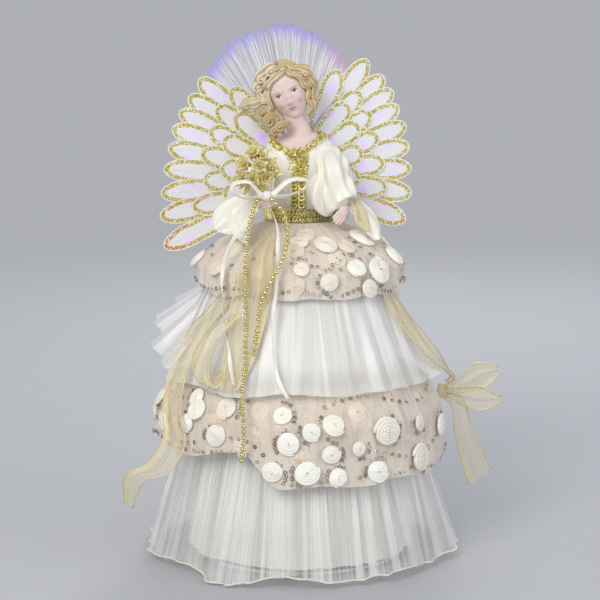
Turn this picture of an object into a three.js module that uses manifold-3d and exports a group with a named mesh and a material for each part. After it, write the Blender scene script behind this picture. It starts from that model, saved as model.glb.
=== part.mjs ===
// Angel tree topper: a dressed angel doll on a support cone, with a battery light and optical fibres.
// Millimetres, +Z up, the front faces -Y. The origin is on the cone's axis in the plane that it stands on.
import * as THREE from 'three';
import { mergeVertices } from 'three/addons/utils/BufferGeometryUtils.js';
import Module from 'manifold-3d';

const wasm = await Module();
wasm.setup();

// Clearances and counts that all pieces share
const clearance = 0.35;
const cutOverrun = 2;
const vertexMergeDistance = 0.0001;
const coneFacets = 28;
const roundFacets = 12;
const limbFacets = 10;
const torsoColumns = 16;
const placketColumns = 5;
const collarColumns = 20;
const plateColumns = 14;
const plateRows = 8;
const collarSides = 5;
const hemTrimSides = 3;
const ribbonColumns = 4;
const bowLoopSides = 6;
const tulleColumns = 36;
const tierColumns = 28;
const underskirtColumns = 24;
const wireSides = 6;
const clothThickness = 1.5;

// Base ring: the flat foot that the topper stands on
const baseRingOuterRadius = 80;
const baseRingInnerRadius = 63;
const baseRingThickness = 2.2;
const baseSpigotHeight = 6;
const baseSpigotWall = 1.8;

// Support cone: open below, the tree's tip goes up inside it
const coneBaseRadius = 74;
const coneTopRadius = 22;
const coneTopHeight = 250;
const coneWall = 1.6;

// Waist plate on the cone's top, with a hole for the fibre bundle
const waistPlateRadius = 24;
const waistPlateThickness = 3;
const bundleHoleRadius = 5;
const bundleHoleBack = 14.2;

// Torso core and what it wears
const torsoWaistWidth = 43;
const torsoWaistDepth = 25;
const torsoChestWidth = 50;
const torsoChestDepth = 29;
const torsoShoulderWidth = 48;
const torsoShoulderDepth = 26;
const torsoRibWidth = 44.5;
const torsoRibDepth = 26.5;
const torsoForward = 1.5;
const torsoRibRise = 20;
const torsoChestRise = 41;
const torsoHeight = 58;
const bodiceThickness = 1.3;
const beltRadius = 25.6;
const beltThickness = 1.6;
const beltHeight = 10.5;
const placketHalfAngle = 18;
const placketThickness = 1.4;
const collarRadius = 1.8;
const collarWidth = 39;
const collarDepth = 23;

// Head casting: shoulder plate, neck, head and moulded hair
const shoulderPlateWidth = 54;
const shoulderPlateDepth = 30;
const shoulderPlateDome = 22;
const shoulderPlateSink = 8.35;
const neckRadius = 6.8;
const headWidth = 31;
const headDepth = 35;
const headHeight = 41;
const headSide = -9.5;
const headForward = 5;
const headRise = 43.3;
const headRoll = -12;
const headNod = 6;

// Arms
const armWireRadius = 1;
const forearmRadius = 3.6;
const wristRadius = 2.7;
const palmRadius = 3.6;
const fingerRadius = 1.1;
const fingerLength = 7.5;
const fingerPitchShare = 1.7;
const fingerLeanShare = 0.5;
const fingerTipShare = 0.75;
const palmHeightShare = 1.2;

// Skirt layers, each from the height and radius of its hem to the height where it is sewn on
const underskirtHemRadius = 86;
const underskirtHemHeight = 6;
const underskirtCollarHeight = 8;
const underskirtFoldDepth = 2.2;
const lowerTulleHemRadius = 117;
const lowerTulleHemHeight = 0.8;
const lowerTulleTopHeight = 124;
const lowerTulleFoldDepth = 6;
const lowerTulleHemDip = 9;
const lowerTierHemRadius = 112;
const lowerTierHemHeight = 71;
const lowerTierTopHeight = 150;
const lowerTierFoldDepth = 2.4;
const lowerTierHemDip = 8;
const upperTulleHemRadius = 105;
const upperTulleHemHeight = 138;
const upperTulleTopHeight = 222;
const upperTulleFoldDepth = 3;
const upperTulleHemDip = 5;
const upperTierHemRadius = 79.5;
const upperTierHemHeight = 205;
const upperTierFoldDepth = 1.5;
const upperTierHemDip = 5;
const hemTrimRadius = 0.9;
const rosetteRadius = 9;
const rosetteHeight = 3.4;
const rosetteRoot = 1.1;
const rosetteSides = 6;

// Wings
const wingReach = 100;
const featherThickness = 1.2;
const featherWidth = 18;
const wingLayerPitch = 1.65;
const backPlateWidth = 28;
const backPlateHeight = 36;
const backPlateThickness = 1.6;
const backPlateRise = 22.3;
const wingWireRadius = 0.9;
const wingFibresRadius = 1.2;
const leftHubSide = -16;
const leftHubRise = 42.3;
const rightHubSide = 14;
const rightHubRise = 48.3;

// Light: carrier disc, module, lamp, ferrule, bundle and the fibre fan
const carrierDrop = 54;
const carrierThickness = 2.6;
const moduleRadius = 9;
const moduleLength = 26;
const moduleBack = 8;
const lampRadius = 2.5;
const lampLength = 5.6;
const ferruleWall = 1.6;
const ferruleBoreGap = 0.4;
const ferruleLength = 12;
const bundleRadius = 2.5;
const fanBlockWidth = 30;
const fanBlockDepth = 5.2;
const fanBlockHeight = 6;
const fanBlockBack = 29;
const fanBlockRise = 36.7;
const fanRadius = 61;
const fanCentreSide = -10.2;
const fanCentreRise = 91.3;
const fanSweepLow = -112;
const fanSweepHigh = 100;
const fanColumns = 75;
const fanRows = 4;
const fanSpread = 12;
const fanLeanShare = 0.2;
const strandStaggerShare = 0.05;
const strandRadius = 0.19;
const strandSides = 3;

// Battery case on the cone's back wall, drawn in its own tilted frame
const caseMiddleHeight = 52;
const caseStandoff = 5.8;
const cellRadius = 7.2;
const cellLength = 50.5;
const cellPitch = 14.9;
const cellTerminalRadius = 2.7;
const cellTerminalLength = 1;
const caseWall = 1.8;
const bayDepth = 15.1;
const contactThickness = 0.5;
const coverThickness = 1.6;
const coverLipThickness = 1.2;
const coverLipWidth = 1.6;
const coverRibDepth = 0.8;
const coverRibHeight = 1.2;
const coverRibPitch = 3;
const coverRibCount = 5;
const switchBlockHeight = 9.4;
const switchTravel = 3;
const switchLength = 6;
const switchHeight = 3.2;
const switchDepth = 2.6;
const switchProud = 1.8;
const screwShankRadius = 1.4;
const screwHeadRadius = 3;
const screwHeadHeight = 1.6;
const screwBossRadius = 3.6;
const screwEngagement = 3.4;
const screwSpacing = 36;
const leadRadius = 1.2;
const leadHoleRadius = 2;

// Bouquet, bow, cords and ribbons
const bouquetSide = -5.26;
const bouquetForward = 5.4;
const bouquetRise = 26.4;
const bouquetRadius = 16;
const blossomRadius = 7;
const stemRadius = 3.2;
const stemLength = 32;
const stemGripShare = 0.6;
const stemFootShare = 0.7;
const bowKnotRadius = 3.4;
const bowLoopReach = 26;
const satinWidth = 4;
const satinThickness = 0.9;
const beadRadius = 1.9;
const ribbonThickness = 0.8;
const ribbonWidth = 30;
const bowRibbonThickness = 5;

// Routes of the cords, chosen by hand over the skirt's outer surface
const satinTailLeftRoute = [[-39, -52.3, 277.4], [-46, -52.5, 268], [-53, -51.5, 258], [-60, -50.5, 247],
  [-65, -51, 235], [-68, -53, 220], [-67.5, -56.5, 206], [-67.4, -60.8, 192], [-66.8, -67.1, 181],
  [-66, -75, 169], [-65, -82.8, 156.4], [-64, -89.5, 147.9]];
const satinTailRightRoute = [[-33.5, -52.8, 277.2], [-29.5, -54, 268], [-27, -58, 257], [-28.5, -68, 246],
  [-29.5, -76.5, 233.8], [-31.5, -81.8, 218.6], [-33.2, -81.8, 206], [-35.3, -83.5, 194.6],
  [-35.6, -89, 177.2], [-35, -96.5, 160.2], [-32.3, -101.8, 150.1], [-27.6, -108, 140.5]];
const longBeadRoute = [[-41.9, -55.2, 278.3], [-46.5, -57.4, 266], [-49, -58.6, 254], [-50.5, -62, 241.7],
  [-52, -66.5, 230.7], [-53, -70.5, 217.5], [-53, -72.5, 205], [-53, -74.5, 194.2], [-54.2, -80.5, 179],
  [-55.3, -86, 166], [-57.3, -91.3, 153], [-59.1, -95.3, 142], [-59.5, -100.5, 130], [-59.5, -104.8, 117],
  [-60.3, -106, 105], [-61.5, -106, 95.9]];
const secondBeadRoute = [[-30.5, -56, 279], [-23, -59.5, 270], [-20.5, -63, 258.5], [-22.6, -71.5, 246.5],
  [-26.8, -78.8, 237], [-30.8, -80.8, 231], [-35, -81.6, 223.5], [-39, -81, 215.5], [-42.3, -80, 208],
  [-43.8, -79, 199.9], [-45.2, -80.5, 190.5], [-47.5, -83.5, 179.3], [-49.2, -86.5, 170.5]];
// Battery lead: heights over the case with gaps from the cone's inner face, shares of the climb to the
// carrier, then rises over the carrier's underside with distances behind the module
const leadSide = 3;
const leadCaseEnd = [[81.5, 21.6], [85, 18.1], [92, 8.6], [100, 3.7]];
const leadClimbShares = [0.229, 0.552, 0.833, 0.958];
const leadConeGap = 3.7;
const leadModuleEnd = [[4, 10.6], [10, 9], [13.5, 5.4], [14, 1.4]];
const cordStepDiameters = 3;
const cordSides = 8;
const armWireSteps = 9;
const wingWireSteps = 6;
const wingFibresSteps = 9;
const bundleSteps = 12;
const bowSteps = 9;

// Profiles of the skirt layers: share of the drop from the sewn edge, share of the flare to the hem
const underskirtShares = [[0, 0.02], [0.12, 0.28], [0.25, 0.55], [0.5, 0.82], [1, 1]];
const lowerTulleShares = [[0, 0], [0.07, 0.23], [0.42, 0.53], [0.75, 0.8], [1, 1]];
const lowerTierShares = [[0, 0], [0.06, 0.36], [0.17, 0.65], [0.42, 0.93], [1, 1]];
const upperTulleShares = [[0, 0], [0.06, 0.4], [0.19, 0.45], [0.6, 0.73], [1, 1]];
const upperTierShares = [[0, 0], [0.12, 0.32], [0.32, 0.7], [0.62, 0.99], [1, 1]];

// Cloth waves: how many round the skirt, phase share of a turn, share of the fold depth
const fullWaveShares = [[10, 0.1, 0.5], [7, 0.62, 0.3], [4, 0.33, 0.2]];
const gatherWaveShares = [[8, 0.35, 0.5], [5, 0.15, 0.3], [3, 0.8, 0.2]];

// Rosettes on the front: angle from the front in degrees, share of the tier's drop, share of the rosette radius
const upperRosetteShares = [[8.6, 0.26, 1.02], [48.8, 0.22, 1.1], [23.1, 0.57, 0.86], [36.2, 0.62, 1.15],
  [5.8, 0.73, 0.77], [-9.5, 0.55, 0.68], [-10.8, 0.22, 0.77], [29.9, 0.88, 0.8], [64, 0.5, 1]];
const lowerRosetteShares = [[-90, 0.38, 0.86], [-78.5, 0.62, 0.86], [-58.4, 0.24, 0.77], [-40.8, 0.3, 0.93],
  [-55.5, 0.36, 0.93], [-59, 0.52, 0.77], [-44.2, 0.63, 0.93], [-14.1, 0.55, 0.93], [-5.5, 0.44, 0.77],
  [3.1, 0.39, 0.93], [1.8, 0.66, 0.77], [-7.4, 0.84, 1.02], [-20.3, 0.86, 0.86], [-17.1, 0.3, 0.77],
  [24.8, 0.49, 1.23], [43.9, 0.48, 0.65], [13.1, 0.62, 0.6], [20.6, 0.87, 0.93], [43.2, 0.82, 1.19],
  [4.5, 0.9, 0.77], [64, 0.6, 0.95]];
const backRosetteRadiusShares = [1, 0.8, 0.9];
const backRosetteDropShares = [0.4, 0.78, 0.58];
const upperBackRosettes = 6;
const lowerBackRosettes = 9;
const backRosetteFirstAngle = 102;
const backRosetteLastAngle = 262;
const rosetteRingShares = [[1, -1], [0.8, 1]];

// Feather tips, as shares of the wing's reach from its hub, and the feather's own outline
const leftLongTipShares = [[-0.567, 0.663], [-0.645, 0.535], [-0.715, 0.422], [-0.769, 0.301],
  [-0.801, 0.157], [-0.834, -0.003], [-0.858, -0.187], [-0.868, -0.363], [-0.84, -0.588]];
const leftMiddleTipShares = [[-0.324, 0.593], [-0.44, 0.458], [-0.495, 0.29], [-0.56, 0.117],
  [-0.545, -0.09], [-0.625, -0.296]];
const leftShortTipShares = [[-0.3, 0.4], [-0.4, 0.21], [-0.42, 0], [-0.4, -0.2]];
const rightLongTipShares = [[0.413, 0.738], [0.54, 0.614], [0.612, 0.506], [0.66, 0.382], [0.717, 0.242],
  [0.742, 0.086], [0.76, -0.086], [0.761, -0.282], [0.715, -0.485]];
const rightMiddleTipShares = [[0.191, 0.663], [0.356, 0.501], [0.44, 0.34], [0.5, 0.16], [0.55, -0.04],
  [0.566, -0.237]];
const rightShortTipShares = [[0.26, 0.41], [0.349, 0.247], [0.38, 0.05], [0.36, -0.15]];
const featherOutlineShares = [[0, 0.42], [0.4, 0.85], [0.8, 1], [0.95, 0.6]];
const featherRootSideShare = 0.08;
const featherRootFirstShare = 0.06;
const featherRootLastShare = -0.16;
const wingWireShares = [[0.04, -0.02], [0.2, 0.06], [0.42, 0.13], [0.62, 0.19]];

// Hair lumps: centre and radii, as shares of the head's width, depth and height from its centre
const hairShares = [
  [[0.02, 0.12, 0.14], [0.62, 0.52, 0.45]],
  [[-0.62, 0.1, 0.1], [0.42, 0.36, 0.33]],
  [[-0.9, 0.02, -0.22], [0.34, 0.3, 0.24]],
  [[-0.58, 0, -0.5], [0.33, 0.3, 0.2]],
  [[0.5, 0.1, 0.07], [0.26, 0.34, 0.32]],
  [[0.4, 0.14, -0.28], [0.2, 0.26, 0.24]],
  [[-0.06, 0.42, -0.24], [0.6, 0.26, 0.46]],
];
const noseShares = [[0, -0.53, -0.1], [0.07, 0.1, 0.07]];
const chinShares = [[0, -0.4, -0.4], [0.22, 0.16, 0.14]];
const blossomShares = [[0, -0.1, 0.2], [-0.62, 0, 0.3], [0.1, 0.1, 0.62], [0.68, 0, 0.1],
  [-0.3, -0.25, -0.35], [0.3, -0.2, -0.3], [-0.7, 0.1, -0.3], [0.95, 0.05, 0.5]];

// Sleeve, drape and bow centre lines: place from the shoulder line in shares of the torso height, and radii
const leftSleeveShares = [[-0.43, -0.07, 0.9, 0.13], [-0.55, -0.2, 0.76, 0.18], [-0.62, -0.4, 0.58, 0.17],
  [-0.58, -0.53, 0.45, 0.12]];
const rightSleeveShares = [[0.45, -0.07, 0.9, 0.14], [0.5, -0.26, 0.76, 0.2], [0.51, -0.41, 0.53, 0.21],
  [0.48, -0.5, 0.32, 0.15]];
const leftForearmShares = [[-0.61, -0.34, 0.63], [-0.57, -0.57, 0.43]];
const rightForearmShares = [[0.49, -0.34, 0.6], [0.45, -0.53, 0.26]];
const leftHandShares = [-0.53, -0.7, 0.36];
const rightHandShares = [0.41, -0.59, 0.13];
const armWireShares = [[-0.52, -0.17, 0.8], [-0.3, -0.05, 0.87], [0.3, -0.05, 0.87], [0.46, -0.17, 0.78]];
const leftDrapeShares = [[-0.64, -0.5, 0.38, 0.1, 0.05], [-0.88, -0.6, 0.2, 0.16, 0.07],
  [-0.88, -0.72, 0.03, 0.12, 0.05], [-0.84, -0.83, -0.13, 0.02, 0.02]];
const rightDrapeShares = [[0.62, -0.46, 0.32, 0.1, 0.05], [0.79, -0.56, 0.16, 0.14, 0.06],
  [0.86, -0.66, 0, 0.1, 0.045], [0.9, -0.74, -0.12, 0.02, 0.02]];
const bowRootShares = [[0, 0.02, 0.03], [0, -0.02, -0.05]];
const bowLeftLoopShares = [[-0.17, 0, 0.04], [-0.5, -0.1, 0.4], [-0.92, 0, 0.36], [-1, 0, 0.12],
  [-0.62, 0, -0.06]];
const bowRightLoopShares = [[0.17, 0, 0.04], [0.6, -0.1, 0.42], [1.1, 0, 0.44], [1.14, 0, 0.2],
  [0.62, 0, 0]];

// Draped ribbon stations: angle in degrees, share of the layer's drop,
// lift and width as shares of the ribbon width
const frontRibbonUpperShares = [[-36, 0.14, 0.05, 0.3], [-35, 0.32, 0.05, 0.6], [-33.5, 0.62, 0.06, 0.95],
  [-34, 0.9, 0.08, 1]];
const frontRibbonLowerShares = [[-36, 0.26, 0.28, 1], [-37, 0.6, 0.14, 0.9], [-37.5, 0.78, 0.1, 0.7],
  [-38, 0.94, 0.1, 0.4]];
const leftSashUpperShares = [[-60, 0.36, 0.04, 0.5], [-68, 0.5, 0.04, 0.7], [-69, 0.75, 0.05, 0.7],
  [-67, 0.97, 0.15, 0.75]];
const leftSashLowerShares = [[-65, 0.4, 0.15, 0.75], [-62, 0.64, 0.15, 0.8], [-64, 0.88, 0.3, 0.9],
  [-69, 1, 0.7, 0.8]];
const rightSashUpperShares = [[50, 0.25, 0.04, 0.5], [58, 0.5, 0.04, 0.7], [66, 0.8, 0.05, 0.7]];

// Bow at the right: its seat on the lower tier, then its loops and tail,
// measured from the knot in shares of the ribbon width
const rightBowAngle = 92;
const rightBowDropShare = 0.39;
const rightBowLoopShares = [
  [[0.5, 0, 0.16, 0.25], [0.97, -0.04, 0.39, 0.36], [1.52, 0, 0.51, 0.1]],
  [[0.5, -0.08, -0.11, 0.25], [0.97, -0.12, -0.23, 0.32], [1.56, -0.08, -0.27, 0.1]],
  [[0.39, -0.08, -0.35, 0.2], [0.58, -0.12, -1.24, 0.28], [1.01, -0.08, -2.34, 0.35]],
];

// Materials by finish
const finishes = {
  white_plastic: { color: 0xf1eee6, roughness: 0.5, metalness: 0 },
  black_plastic: { color: 0x2b2b2e, roughness: 0.45, metalness: 0 },
  clear_fibre: { color: 0xc9b8ff, roughness: 0.2, metalness: 0 },
  resin_paint: { color: 0xe9b89c, roughness: 0.45, metalness: 0 },
  white_satin: { color: 0xf4efe6, roughness: 0.4, metalness: 0 },
  champagne_net: { color: 0xe0cfae, roughness: 0.7, metalness: 0 },
  gold_organza: { color: 0xd3b266, roughness: 0.45, metalness: 0.2 },
  gold_sequin: { color: 0xcaa24a, roughness: 0.35, metalness: 0.6 },
  feather_cloth: { color: 0xf0e6cf, roughness: 0.6, metalness: 0 },
  steel: { color: 0xb9bcc0, roughness: 0.35, metalness: 1 },
  cell_wrap: { color: 0x4a4e55, roughness: 0.4, metalness: 0.2 },
  foam_core: { color: 0xd8d3c6, roughness: 0.9, metalness: 0 },
};

// Names a geometry, gives it its finish and returns it as a mesh
function piece(name, geometry, finish) {
  const mesh = new THREE.Mesh(geometry, new THREE.MeshStandardMaterial(finishes[finish]));
  mesh.name = name;
  return mesh;
}

// Keeps positions alone and joins equal vertices
function bareGeometry(geometry) {
  const bare = geometry.clone();
  bare.deleteAttribute('normal');
  bare.deleteAttribute('uv');
  return mergeVertices(bare, vertexMergeDistance);
}

// Corner numbers of every triangle that has three different corners
function cleanFaces(geometry) {
  const index = geometry.index.array;
  const faces = [];
  for (let i = 0; i < index.length; i += 3) {
    const [a, b, c] = [index[i], index[i + 1], index[i + 2]];
    if (a !== b && b !== c && c !== a) faces.push(a, b, c);
  }
  return faces;
}

// Signed volume of a closed geometry: negative when its faces point inwards
function signedVolume(points, faces) {
  const [a, b, c] = [new THREE.Vector3(), new THREE.Vector3(), new THREE.Vector3()];
  let sum = 0;
  for (let i = 0; i < faces.length; i += 3) {
    a.fromBufferAttribute(points, faces[i]);
    b.fromBufferAttribute(points, faces[i + 1]);
    c.fromBufferAttribute(points, faces[i + 2]);
    sum += a.dot(b.cross(c));
  }
  return sum;
}

// A closed geometry with clean faces that point outwards
function facingOut(geometry) {
  const bare = bareGeometry(geometry);
  const faces = cleanFaces(bare);
  if (signedVolume(bare.attributes.position, faces) < 0) faces.reverse();
  bare.setIndex(faces);
  bare.computeVertexNormals();
  return bare;
}

// Boolean solid of a closed geometry, and back
function solidOf(geometry) {
  const closed = facingOut(geometry);
  return new wasm.Manifold(new wasm.Mesh({
    numProp: 3,
    vertProperties: Float32Array.from(closed.attributes.position.array),
    triVerts: Uint32Array.from(closed.index.array),
  }));
}
function geometryOf(solid) {
  const mesh = solid.getMesh();
  const geometry = new THREE.BufferGeometry();
  geometry.setAttribute('position', new THREE.BufferAttribute(Float32Array.from(mesh.vertProperties), 3));
  geometry.setIndex(Array.from(mesh.triVerts));
  geometry.computeVertexNormals();
  return geometry;
}
const joined = (geometries) => geometries.map(solidOf).reduce((sum, solid) => sum.add(solid));
const without = (solid, geometries) =>
  geometries.map(solidOf).reduce((rest, tool) => rest.subtract(tool), solid);

// Skin through a list of point rings, capped at its two ends, or looped back to the first ring
function ringSkin(rings, looped = false) {
  const columns = rings[0].length;
  const points = rings.flat().map((point) => point.clone());
  const faces = [];
  const bands = looped ? rings.length : rings.length - 1;
  for (let band = 0; band < bands; band++) {
    const next = (band + 1) % rings.length;
    for (let column = 0; column < columns; column++) {
      const beside = (column + 1) % columns;
      const [a, b] = [band * columns + column, band * columns + beside];
      const [c, d] = [next * columns + beside, next * columns + column];
      faces.push(a, b, c, a, c, d);
    }
  }
  if (!looped) {
    for (const ring of [0, rings.length - 1]) {
      const centre = rings[ring].reduce((sum, point) => sum.add(point), new THREE.Vector3());
      points.push(centre.divideScalar(columns));
      for (let column = 0; column < columns; column++) {
        const [a, b] = [ring * columns + column, ring * columns + (column + 1) % columns];
        faces.push(...(ring === 0 ? [b, a, points.length - 1] : [a, b, points.length - 1]));
      }
    }
  }
  const geometry = new THREE.BufferGeometry().setFromPoints(points);
  geometry.setIndex(faces);
  return facingOut(geometry);
}

// Point at an angle from the front, at a radius and a height
const aroundAxis = (angle, radius, height) =>
  new THREE.Vector3(radius * Math.sin(angle), -radius * Math.cos(angle), height);
const radians = (degrees) => THREE.MathUtils.degToRad(degrees);

// Flat ellipse ring round a centre
function ellipseRing(x, y, z, halfWidth, halfDepth, columns = roundFacets) {
  return Array.from({ length: columns }, (_, i) => {
    const angle = (i / columns) * 2 * Math.PI;
    return new THREE.Vector3(x + halfWidth * Math.cos(angle), y + halfDepth * Math.sin(angle), z);
  });
}

// Skin of a tube with elliptical sections along a list of stations: centre, half width, half depth
function limbSkin(stations, columns = limbFacets) {
  const centres = stations.map(([centre]) => centre);
  const rings = stations.map(([centre, halfWidth, halfDepth], i) => {
    const before = centres[Math.max(i - 1, 0)];
    const after = centres[Math.min(i + 1, centres.length - 1)];
    const along = after.clone().sub(before).normalize();
    const side = new THREE.Vector3(1, 0, 0).addScaledVector(along, -along.x).normalize();
    const front = side.clone().cross(along);
    return Array.from({ length: columns }, (_, j) => {
      const angle = (j / columns) * 2 * Math.PI;
      return centre.clone().addScaledVector(side, halfWidth * Math.cos(angle))
        .addScaledVector(front, halfDepth * Math.sin(angle));
    });
  });
  return ringSkin(rings);
}

// Ring of revolution about Z from a closed outline of radius and height pairs
function revolved(outline, facets = coneFacets) {
  const points = [...outline, outline[0]].map(([radius, height]) => new THREE.Vector2(radius, height));
  return facingOut(new THREE.LatheGeometry(points, facets).rotateX(Math.PI / 2));
}

// Solid box from its lowest corner and its size, and an upright cylinder from its base centre
function boxFrom(low, size) {
  return new THREE.BoxGeometry(...size).translate(...low.map((value, i) => value + size[i] / 2));
}
function uprightCylinder(radius, low, length, x = 0, y = 0, facets = roundFacets) {
  return new THREE.CylinderGeometry(radius, radius, length, facets).rotateX(Math.PI / 2)
    .translate(x, y, low + length / 2);
}

// Egg shape from a centre and its three half sizes
function egg(centre, halves, around = 8, up = 5) {
  return new THREE.SphereGeometry(1, around, up).rotateX(Math.PI / 2).scale(...halves).translate(...centre);
}

// Smooth curve through points, and a round tube along it
const curveThrough = (points) =>
  new THREE.CatmullRomCurve3(points.map((point) => new THREE.Vector3(...point)), false, 'centripetal');
const stepsAlong = (points, width) => Math.ceil(curveThrough(points).getLength() / (cordStepDiameters * width));
function roundTube(points, radius, steps = stepsAlong(points, 2 * radius), sides = cordSides) {
  const section = new THREE.Shape(Array.from({ length: sides }, (_, i) => {
    const angle = ((i + 0.5) / sides) * 2 * Math.PI;
    return new THREE.Vector2(radius * Math.cos(angle), radius * Math.sin(angle));
  }));
  const extrudePath = curveThrough(points);
  return facingOut(new THREE.ExtrudeGeometry(section, { steps, extrudePath, bevelEnabled: false }));
}

// Flat tube along a route, its flat side turned away from the skirt's axis
function flatTube(points, width, thickness, steps = stepsAlong(points, width), sides = cordSides) {
  const section = new THREE.Shape(Array.from({ length: sides }, (_, i) => {
    const angle = ((i + 0.5) / sides) * 2 * Math.PI;
    return new THREE.Vector2((thickness / 2) * Math.cos(angle), (width / 2) * Math.sin(angle));
  }));
  const curve = curveThrough(points);
  curve.computeFrenetFrames = (segments) => {
    const frames = { tangents: [], normals: [], binormals: [] };
    for (let i = 0; i <= segments; i++) {
      const place = curve.getPointAt(i / segments);
      const along = curve.getTangentAt(i / segments);
      const out = new THREE.Vector3(place.x, place.y, 0).normalize();
      out.addScaledVector(along, -out.dot(along)).normalize();
      frames.tangents.push(along);
      frames.normals.push(out);
      frames.binormals.push(along.clone().cross(out));
    }
    return frames;
  };
  return facingOut(new THREE.ExtrudeGeometry(section, { steps, extrudePath: curve, bevelEnabled: false }));
}

// Value of a two-column table at a position, straight between its rows
function tableAt(table, position) {
  const found = table.findIndex(([at]) => at >= position);
  const row = found < 0 ? table.length - 1 : Math.max(1, found);
  const [[from, low], [to, high]] = [table[row - 1], table[row]];
  return low + ((high - low) * (Math.min(Math.max(position, from), to) - from)) / (to - from);
}
const waveAt = (waves, angle) =>
  waves.reduce((sum, [count, phase, share]) => sum + share * Math.cos(count * angle + phase * 2 * Math.PI), 0);

const normalStepShare = 0.02;

// Place on a skirt layer: angle from the front, share of its drop, and lift off its outer face
function clothPoint(layer, angle, drop, lift = 0) {
  const flare = tableAt(layer.profile, drop);
  const fold = layer.foldDepth * drop ** layer.foldPower * waveAt(layer.waves, angle);
  const radius = layer.topRadius + (layer.hemRadius - layer.topRadius) * flare + fold + lift;
  const dip = layer.hemDip * drop ** layer.hemPower * (waveAt(layer.hemWaves, angle) + 1) / 2;
  return aroundAxis(angle, radius, layer.topHeight + (layer.hemHeight - layer.topHeight) * drop + dip);
}
function clothNormal(layer, angle, drop) {
  const step = normalStepShare;
  const down = clothPoint(layer, angle, drop + step).sub(clothPoint(layer, angle, drop - step));
  const round = clothPoint(layer, angle + step, drop).sub(clothPoint(layer, angle - step, drop));
  return round.cross(down).normalize().negate();
}
function clothSkin(layer, columns) {
  const rows = layer.profile.map(([drop]) => drop);
  const ring = (drop, lift) => Array.from({ length: columns }, (_, i) =>
    clothPoint(layer, (i / columns) * 2 * Math.PI, drop, lift));
  const outer = rows.map((drop) => ring(drop, 0));
  const inner = rows.reverse().map((drop) => ring(drop, -clothThickness));
  return ringSkin([...outer, ...inner], true);
}

// Heights that the pieces above the cone share
const waistPlateLow = coneTopHeight + clearance;
const waistPlateTop = waistPlateLow + waistPlateThickness;
const torsoLow = waistPlateTop + clearance;
const torsoTop = torsoLow + torsoHeight;
const headCentre = [headSide, -headForward, torsoTop + headRise];
const backPlateLow = torsoLow + backPlateRise;
const leftHub = [leftHubSide, torsoLow + leftHubRise];
const rightHub = [rightHubSide, torsoLow + rightHubRise];
const fanBlockLow = torsoLow + fanBlockRise;
const fanCentreHeight = torsoLow + fanCentreRise;
const carrierHeight = coneTopHeight - carrierDrop;
const underskirtTopHeight = waistPlateTop + underskirtCollarHeight / 2;
const underskirtTopRadius = waistPlateRadius + clearance + clothThickness;

// The underskirt carries every other layer, so their sewn edges follow its radius
const underskirt = {
  topHeight: underskirtTopHeight, topRadius: underskirtTopRadius,
  hemHeight: underskirtHemHeight, hemRadius: underskirtHemRadius,
  profile: [[0, 0], [underskirtCollarHeight / (underskirtTopHeight - underskirtHemHeight), 0],
    ...underskirtShares.slice(1)],
  waves: gatherWaveShares, foldDepth: underskirtFoldDepth, foldPower: 5,
  hemWaves: fullWaveShares, hemDip: 0, hemPower: 4,
};
function underskirtRadiusAt(height) {
  const drop = (underskirt.topHeight - height) / (underskirt.topHeight - underskirt.hemHeight);
  const flare = (underskirt.hemRadius - underskirt.topRadius) * tableAt(underskirt.profile, drop);
  return underskirt.topRadius + flare + underskirt.foldDepth * drop ** underskirt.foldPower;
}
const sewnRadius = (height) => underskirtRadiusAt(height) + clearance + clothThickness;
const lowerTulle = {
  topHeight: lowerTulleTopHeight, topRadius: sewnRadius(lowerTulleTopHeight),
  hemHeight: lowerTulleHemHeight, hemRadius: lowerTulleHemRadius, profile: lowerTulleShares,
  waves: fullWaveShares, foldDepth: lowerTulleFoldDepth, foldPower: 1.6,
  hemWaves: gatherWaveShares, hemDip: lowerTulleHemDip, hemPower: 3,
};
const lowerTier = {
  topHeight: lowerTierTopHeight, topRadius: sewnRadius(lowerTierTopHeight),
  hemHeight: lowerTierHemHeight, hemRadius: lowerTierHemRadius, profile: lowerTierShares,
  waves: gatherWaveShares, foldDepth: lowerTierFoldDepth, foldPower: 1.5,
  hemWaves: fullWaveShares, hemDip: lowerTierHemDip, hemPower: 3,
};
const upperTulle = {
  topHeight: upperTulleTopHeight, topRadius: sewnRadius(upperTulleTopHeight),
  hemHeight: upperTulleHemHeight, hemRadius: upperTulleHemRadius, profile: upperTulleShares,
  waves: fullWaveShares, foldDepth: upperTulleFoldDepth, foldPower: 2,
  hemWaves: gatherWaveShares, hemDip: upperTulleHemDip, hemPower: 3,
};
const upperTierTopHeight = underskirtTopHeight - clearance;
const upperTier = {
  topHeight: upperTierTopHeight, topRadius: sewnRadius(upperTierTopHeight),
  hemHeight: upperTierHemHeight, hemRadius: upperTierHemRadius, profile: upperTierShares,
  waves: gatherWaveShares, foldDepth: upperTierFoldDepth, foldPower: 1.5,
  hemWaves: fullWaveShares, hemDip: upperTierHemDip, hemPower: 3,
};

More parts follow.
